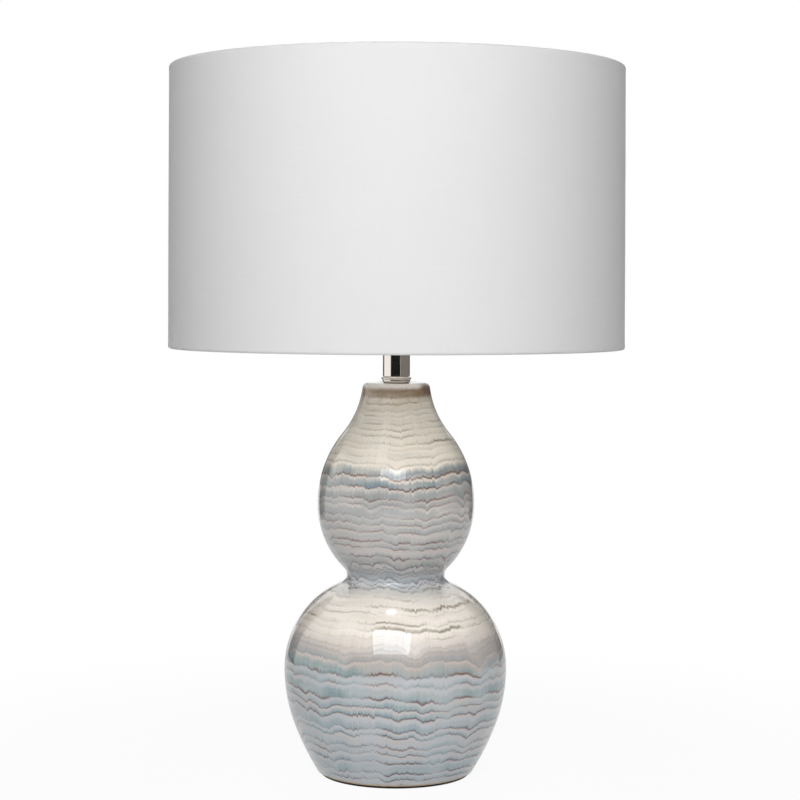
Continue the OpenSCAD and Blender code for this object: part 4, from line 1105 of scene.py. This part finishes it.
class LAMP_OT_bulb(bpy.types.Operator):
    """Blow the bulb's frosted glass and roll its screw cap"""
    bl_idname = "gourd_lamp.bulb"
    bl_label = "Light bulb"

    def execute(self, context):
        low, high = corners("bulb_glass")
        cap_low, cap_high = corners("bulb_cap")
        radius, neck_r, hollow, glass = 30 * MM, 13.2 * MM, 55 * MM, 0.8 * MM
        ball_z = high[2] - radius
        joint_z = cap_high[2]
        neck_x = neck_r + hollow
        neck_z = ball_z - math.sqrt((radius + hollow) ** 2 - neck_x ** 2)
        meet = math.atan2(neck_z - ball_z, neck_x)

        def shape(inset, foot):
            return [(neck_r - inset, foot), (neck_r - inset, neck_z),
                    *arc((neck_x, neck_z), hollow + inset, math.pi, math.pi + meet, 14)[1:],
                    *arc((0.0, ball_z), radius - inset, meet, HALF_PI, 34)[1:]]

        outer = shape(0.0, joint_z)
        inner = shape(glass, joint_z + glass)
        spigot = cap_high[0] - glass
        globe = turned("bulb_envelope", [
            *reversed(outer), (spigot, joint_z), (spigot, low[2]), (0.0, low[2]),
            (0.0, joint_z + glass / 2), *inner], 96, 1.0)
        finished(globe, finish_of("frost"), "bulb", "bulb_glass")

        crest, root, pitch = cap_high[0], cap_high[0] - 0.75 * MM, 3.4 * MM
        taper_z = cap_low[2] + 2.7 * MM
        turns = int((cap_high[2] - taper_z - 2.0 * MM) / pitch)
        waves = [(root + (crest - root) * (0.5 - 0.5 * math.cos(FULL * k / 8)),
                  taper_z + 0.4 * MM + pitch * k / 8) for k in range(turns * 8)]
        cap = turned("bulb_screw_cap", [
            (0.0, cap_low[2]), (9.0 * MM, cap_low[2]), (root, taper_z), *waves,
            *beside(crest, cap_high[2], (-0.75, -1.2), (-0.1, -0.9), (0, 0)), (0.0, cap_high[2])])
        finished(cap, finish_of("zinc"), "bulb", "bulb_cap")
        return {"FINISHED"}


# ---------------------------------------------------------------- shade

class LAMP_OT_shade(bpy.types.Operator):
    """Roll the linen round both rims, with the lining inside and the welded wires"""
    bl_idname = "gourd_lamp.shade"
    bl_label = "Drum shade"

    def execute(self, context):
        size = lamp_settings().shade
        low, high = corners("shade_linen")
        rim_r, bottom_z, top_z = SHADE_RADIUS - size.roll, low[2] + size.roll, high[2] - size.roll
        self.frame(size, rim_r, bottom_z, top_z)
        self.lining(size)
        self.cloth(size, rim_r, bottom_z, top_z)
        return {"FINISHED"}

    def cloth(self, size, rim_r, bottom_z, top_z):
        """One strip of linen, swept once round and a little past its start to make the lapped seam."""
        half = size.cloth / 2
        middle = size.roll - half
        wall = SHADE_RADIUS - half
        slack = 0.12 * MM
        lining_r = SHADE_RADIUS - size.cloth - 0.6 * MM
        upper = [
            (lining_r - half, top_z - size.roll - size.turn_in),
            (lining_r - half - 0.1 * MM, top_z - size.roll - 0.5 * size.turn_in),
            (rim_r - middle * 0.86, top_z - middle * 0.95),
            *arc((rim_r, top_z), middle, math.pi * 1.08, 0.0, 18),
            (wall - 0.5 * slack, top_z - 1.3 * size.roll),
            (wall - slack, top_z - 2.1 * size.roll),
            (wall - slack, top_z - 4.0 * size.roll)]
        flip = [(r, bottom_z + top_z - z) for r, z in reversed(upper)]
        rows = 24
        first, last = upper[-1][1], flip[0][1]
        wall_rows = [(wall - slack * max(0.0, 1 - 3 * min(k, rows - k) / rows), first + (last - first) * k / rows)
                     for k in range(1, rows)]
        line = [*upper, *wall_rows, *flip]
        sides = 240
        piece = wrapped("shade_cloth", line, sides, round(sides * size.lap / SHADE_RADIUS / FULL), size.cloth)
        self.map_cloth(piece.data, line)
        apply_modifier(piece, "SOLIDIFY", thickness=size.cloth, offset=0.0, use_even_offset=True)
        across = size.arm / 2 + 0.6 * MM
        for k in range(3):
            notch = block("notch", (rim_r - size.roll - 0.2 * MM, -across, top_z - size.roll - 6 * MM),
                          (rim_r - 0.9 * MM, across, top_z + size.arm / 2))
            cut_away(piece, settle(notch, turn=(0.0, 0.0, HALF_PI + FULL * k / 3)))
        smooth(piece, 1.2)
        finished(piece, finish_of("linen"), "shade", "shade_linen")

    def map_cloth(self, mesh, line):
        """Writes the cloth's own map: metres round the drum and metres across the strip."""
        across = [0.0]
        for a, b in zip(line, line[1:]):
            across.append(across[-1] + math.dist(a, b))
        places = []
        for vertex in mesh.vertices:
            places.append((math.atan2(vertex.co.x, -vertex.co.y), across[nearest(line, vertex)]))
        cloth_map = mesh.uv_layers.new(name="cloth")
        for face in mesh.polygons:
            start = places[face.vertices[0]][0]
            for corner in face.loop_indices:
                turn, height = places[mesh.loops[corner].vertex_index]
                along = (start + math.remainder(turn - start, FULL)) * SHADE_RADIUS
                cloth_map.data[corner].uv = (along, height)

    def lining(self, size):
        """The stiff white sheet inside the linen, with its glued lap at the back."""
        low, high = corners("shade_lining")
        outer, sheet = SHADE_RADIUS - size.cloth - 0.05 * MM, 0.5 * MM
        rows = 10
        line = [(outer - sheet / 2, low[2] + (high[2] - low[2]) * k / rows) for k in range(rows + 1)]
        piece = wrapped("shade_liner", line, 200, 2, sheet)
        apply_modifier(piece, "SOLIDIFY", thickness=sheet, offset=0.0)
        smooth(piece, 1.2)
        finished(piece, finish_of("lining"), "shade", "shade_lining")

    def frame(self, size, rim_r, bottom_z, top_z):
        """Rim wires, the washer and the spider's arms with their weld beads."""
        nickel = finish_of("nickel")
        _, seat_top = corners("harp_seat")
        under, over = seat_top[2] - 8.7 * MM, seat_top[2] - 6.7 * MM
        washer = ring("washer", [
            (5.5 * MM, under + 0.2 * MM), (5.7 * MM, under), *low_edge(17 * MM, under, 0.4 * MM),
            *top_edge(17 * MM, over, 0.4 * MM), (5.7 * MM, over), (5.5 * MM, over - 0.2 * MM)])
        top_wire, low_wire = (
            smooth(added(name, bpy.ops.mesh.primitive_torus_add, major_segments=192, minor_segments=16,
                         major_radius=rim_r, minor_radius=size.rim_wire / 2, location=(0, 0, z)))
            for name, z in (("upper_rim_wire", top_z), ("lower_rim_wire", bottom_z)))
        finished(low_wire, nickel, "shade", "bottom_ring")

        arm_z = (under + over) / 2
        slope, bend_r = math.radians(50), 6 * MM
        rise = top_z - arm_z
        slope_l = (rise - bend_r * (1 - math.cos(slope))) / math.sin(slope)
        bend_x = rim_r - slope_l * math.cos(slope) - bend_r * math.sin(slope)
        bend = arc((bend_x, arm_z + bend_r), bend_r, -HALF_PI, slope - HALF_PI, 8)
        pieces = [washer, top_wire]
        for k in range(3):
            turn = HALF_PI + FULL * k / 3
            flat = [(15.0 * MM, arm_z), *bend, (rim_r - 0.6 * MM, top_z - 0.7 * MM)]
            path = [(x * math.cos(turn), x * math.sin(turn), z) for x, z in flat]
            pieces.append(bent("arm", path, size.arm, 5))
            for x, z, bead in ((17.2 * MM, arm_z, 1.9 * MM), (rim_r - 1.6 * MM, top_z - 1.4 * MM, 1.7 * MM)):
                pieces.append(smooth(added(
                    "weld", bpy.ops.mesh.primitive_uv_sphere_add, segments=16, ring_count=10, radius=bead,
                    location=(x * math.cos(turn), x * math.sin(turn), z), scale=(1.0, 1.0, 0.62))))
        finished(joined("spider_frame", pieces), nickel, "shade", "shade_spider")


class LAMP_OT_finial(bpy.types.Operator):
    """Turn the finial that holds the shade down"""
    bl_idname = "gourd_lamp.finial"
    bl_label = "Finial"

    def execute(self, context):
        low, high = corners("finial")
        foot, top = low[2], high[2]
        base_r, ball_r, neck_r, bore = high[0], 6.4 * MM, 4.8 * MM, 3.225 * MM
        ball_z = top - ball_r
        meet = -math.acos(neck_r / ball_r)
        piece = turned("finial_ball", [
            (0.0, foot + 6.7 * MM), (bore, foot + 6.5 * MM), (bore, foot + 0.4 * MM), (bore + 0.4 * MM, foot),
            *low_edge(base_r, foot, 0.4 * MM), (base_r, foot + 1.1 * MM),
            *top_edge(base_r, foot + 1.8 * MM, 0.6 * MM, 5),
            *arc((neck_r + 1.8 * MM, foot + 3.6 * MM), 1.8 * MM, -HALF_PI, -math.pi, 10),
            *beside(neck_r, foot, (0, 4.6), (0.35, 4.9), (0.35, 5.5), (0, 5.8)),
            *arc((0.0, ball_z), ball_r, meet + 0.05, HALF_PI, 28)])
        finished(piece, finish_of("nickel"), "finial", "finial")
        return {"FINISHED"}


class LAMP_OT_frame_finishes(bpy.types.Operator):
    """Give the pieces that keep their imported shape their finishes"""
    bl_idname = "gourd_lamp.frame_finishes"
    bl_label = "Plain pieces"

    def execute(self, context):
        kept = {
            "zinc": ("base_plate", "lock_washer", "threaded_rod"),
            "nickel": ("harp_saddle",),
            "brass": ("set_screw", "screw_shell", "centre_contact", "terminal_screws", "switch_shaft"),
            "phenolic": ("socket_core", "bulb_contact"),
        }
        for finish, nodes in kept.items():
            for node in nodes:
                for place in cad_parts[node].material_slots:
                    place.link = "OBJECT"
                    place.material = finish_of(finish)
        return {"FINISHED"}


# ---------------------------------------------------------------- stage

def only_reflected(piece, finish, colour, strength=1.0):
    """Makes a part of the stage shine and hides it from all but reflections."""
    finish.end(finish.node("Emission", None, {"Color": colour, "Strength": strength}))
    piece.data.materials.append(finish.made)
    for ray in ("camera", "diffuse", "transmission", "shadow"):
        setattr(piece, "visible_" + ray, False)


def card(name, start, end, distance, low, high, tone, soft):
    """A curved card with soft ends. Angles are degrees from the front, + to the right."""
    steps = 32
    turns = [math.radians(start + (end - start) * k / steps) for k in range(steps + 1)]
    drawn([(distance * math.sin(turn), -distance * math.cos(turn), low) for turn in turns])
    bpy.ops.mesh.extrude_region_move(TRANSFORM_OT_translate={"value": (0, 0, high - low)})
    paper = Finish(name)
    x, y, _ = paper.split(paper.place())
    turn = paper.maths("ARCTAN2", x, y * -1.0) * (180 / math.pi)
    turn = turn + (turn < start - 1.0) * 360.0
    inward = paper.maths("MINIMUM", turn - start, end - turn)
    only_reflected(named(name), paper, paper.mix(paper.step(inward, 0.0, soft), WHITE, tone))


def panel(name, place, target, size, strength):
    """The lit face of a soft light, with a brighter border."""
    only()
    bpy.ops.mesh.primitive_plane_add(size=1.0, location=place, rotation=facing(place, target))
    piece = named(name)
    piece.scale = (*size, 1.0)
    face = Finish(name)
    x, y, _ = face.split(face.place())
    inward = 0.5 - face.maths("MAXIMUM", face.maths("ABSOLUTE", x), face.maths("ABSOLUTE", y))
    tone = face.mix(face.step(inward, 0.02, 0.09), WHITE, (0.74, 0.82, 0.91))
    only_reflected(piece, face, tone, strength)


def shadow_ring(name, inner, outer, tone):
    """A painted shadow: a grey ring just above the floor, seen only in reflections, that stands in for the
    floor's shade round the lamp and fades out at its outer edge.
    """
    paper = Finish(name)
    x, y, _ = paper.split(paper.place())
    radius = paper.maths("SQRT", x * x + y * y)
    shown = paper.mix(paper.step(radius, outer, outer * 0.8), WHITE, (tone, tone, tone))
    only_reflected(turned(name, [(inner, 0.6 * MM), (outer, 0.6 * MM)]), paper, shown)


def facing(place, target):
    """The turn that points a light or a panel from its place at a target."""
    return (Vector(place) - Vector(target)).to_track_quat("Z", "Y").to_euler()


# Name, start and end, distance, foot and top, tone and soft ends
CARDS = (
    ("front_card", -52, 42, 2.6, 0.0, 1.25, (0.012, 0.012, 0.013), 6.0),
    ("right_card", 34, 134, 2.2, 0.0, 1.4, (0.20, 0.185, 0.175), 2.5),
    ("right_flag", 130, 152, 1.2, 0.0, 0.9, (0.04, 0.04, 0.04), 1.5),
    ("left_flag", -152, -122, 1.2, 0.0, 0.9, (0.04, 0.04, 0.04), 6.0),
    ("right_back", 146, 170, 2.6, 0.16, 0.8, (0.10, 0.10, 0.10), 3.0),
    ("left_back", -170, -146, 2.6, 0.16, 0.8, (0.10, 0.10, 0.10), 3.0),
)


class LAMP_OT_stage(bpy.types.Operator):
    """Lay the floor, set the lights and the camera"""
    bl_idname = "gourd_lamp.stage"
    bl_label = "Stage"

    def execute(self, context):
        stage = lamp_settings().stage
        self.floor(stage)
        self.world(stage)
        self.lights(stage)
        self.camera()
        for row in CARDS:
            card(*row)
        # Painted shadow of the lamp on the floor, seen only in the glaze's reflections.
        shadow_ring("floor_shadow_ring", 0.068, 1.6, 0.72)
        panel("key_face", *KEY_LIGHT, 5.2)
        panel("top_face", (-0.10, -0.22, 2.00), (0.0, -0.07, 0.15), (0.27, 0.24), 6.5)
        return {"FINISHED"}

    def floor(self, stage):
        """A wide pale floor that glows plain white further off, and isn't there from below."""
        only()
        bpy.ops.mesh.primitive_plane_add(size=40)
        floor = named("studio_floor")
        finish = Finish("studio_floor_paper")
        place = finish.place()
        speckled = finish.mix(finish.noise(place, 3.0), tuple(part * 0.99 for part in stage.floor), stage.floor)
        matte = finish.node("BsdfDiffuse", None, {"Color": speckled})
        white = finish.node("Emission", None, {"Color": (*WHITE, 1.0), "Strength": 1.0})
        clear = finish.node("BsdfTransparent")
        far = finish.node("VectorMath", {"operation": "LENGTH"}, {0: place}, output=1)
        glow_share = stage.floor_glow + (1.0 - stage.floor_glow) * finish.step(far, 0.18, 0.75)
        above = finish.node("MixShader", None, {0: finish.shown() * glow_share, 1: matte, 2: white})
        underside = finish.node("NewGeometry", output=BACKFACING)
        finish.end(finish.node("MixShader", None, {0: underside, 1: above, 2: clear}))
        floor.data.materials.append(finish.made)

    def world(self, stage):
        """White where it shows directly, and dimmer as light."""
        studio = Finish("studio", "worlds")
        bpy.context.scene.world = studio.made
        strength = stage.ambient + (1.0 - stage.ambient) * studio.shown()
        studio.end(studio.node("Background", None, {"Color": (*WHITE, 1.0), "Strength": strength}), "OutputWorld")

    def lights(self, stage):
        self.soft_light("key_softbox", *KEY_LIGHT, stage.key_power)
        self.soft_light("fill_softbox", (0.05, -2.20, 1.02), (0.0, 0.0, 0.32), (1.5, 0.9), stage.fill_power)
        self.soft_light("back_softbox", (0.0, 2.30, 1.00), (0.0, 0.0, 0.34), (1.1, 0.9), stage.back_power)
        glow = self.soft_light("shade_glow", (0.0, 0.0, 0.40), (0.0, 0.0, 0.0), (0.30, 0.30), stage.glow_power)
        glow.data.shape = "DISK"

    def soft_light(self, name, place, target, size, power):
        """A rectangular light that faces a target and is never seen itself."""
        only()
        bpy.ops.object.light_add(type="AREA", location=place, rotation=facing(place, target))
        light = bpy.context.object
        light.name = name
        light.data.shape = "RECTANGLE"
        light.data.size, light.data.size_y = size
        light.data.energy = power
        light.visible_camera = light.visible_glossy = False
        return light

    def camera(self):
        only()
        bpy.ops.object.camera_add(location=(0.0, -1.874, 0.4299), rotation=(HALF_PI, math.radians(-0.2), 0.0))
        camera = bpy.context.object
        camera.name = "camera"
        camera.data.sensor_width, camera.data.lens = 36.0, 94.257
        camera.data.shift_x, camera.data.shift_y = 0.0042, -0.1366
        camera.data.clip_start, camera.data.clip_end = 0.05, 100.0
        bpy.context.scene.camera = camera
        bpy.context.scene.view_settings.view_transform = "Standard"


# ---------------------------------------------------------------- panel and main

class LampSettings(bpy.types.PropertyGroup):
    """All of the lamp's settings."""
    gourd: bpy.props.PointerProperty(type=GourdSizes, name="Gourd", description="Arcs of the ceramic body")
    shade: bpy.props.PointerProperty(type=ShadeSizes, name="Shade", description="Sizes of the shade")
    glaze: bpy.props.PointerProperty(type=GlazeColours, name="Glaze", description="Colours of the glaze")
    colours: bpy.props.PointerProperty(type=FinishColours, name="Colours", description="Other finishes")
    stage: bpy.props.PointerProperty(type=StageSettings, name="Stage", description="Light and floor")


STEPS = (LAMP_OT_stage, LAMP_OT_gourd, LAMP_OT_foot, LAMP_OT_outlet, LAMP_OT_neck, LAMP_OT_harp, LAMP_OT_holder,
         LAMP_OT_bulb, LAMP_OT_shade, LAMP_OT_finial, LAMP_OT_frame_finishes)


class LAMP_PT_panel(bpy.types.Panel):
    """Lists the lamp's steps and settings"""
    bl_idname = "LAMP_PT_panel"
    bl_label = "Double gourd lamp"
    bl_space_type = "VIEW_3D"
    bl_region_type = "UI"
    bl_category = "Lamp"

    def draw(self, context):
        lamp = context.scene.gourd_lamp
        for step in STEPS:
            self.layout.operator(step.bl_idname)
        for group in (lamp.gourd, lamp.shade, lamp.glaze, lamp.colours, lamp.stage):
            box = self.layout.box()
            for key in group.bl_rna.properties.keys():
                if key not in ("rna_type", "name"):
                    box.prop(group, key)


CLASSES = (GourdSizes, ShadeSizes, GlazeColours, FinishColours, StageSettings, LampSettings, *STEPS,
           LAMP_PT_panel)


def register():
    for kind in CLASSES:
        bpy.utils.register_class(kind)
    bpy.types.Scene.gourd_lamp = bpy.props.PointerProperty(type=LampSettings)


def unregister():
    del bpy.types.Scene.gourd_lamp
    for kind in reversed(CLASSES):
        bpy.utils.unregister_class(kind)


def main():
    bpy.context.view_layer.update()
    register()
    for step in STEPS:
        group, name = step.bl_idname.split(".")
        getattr(getattr(bpy.ops, group), name)()


if __name__ == "__main__":
    main()
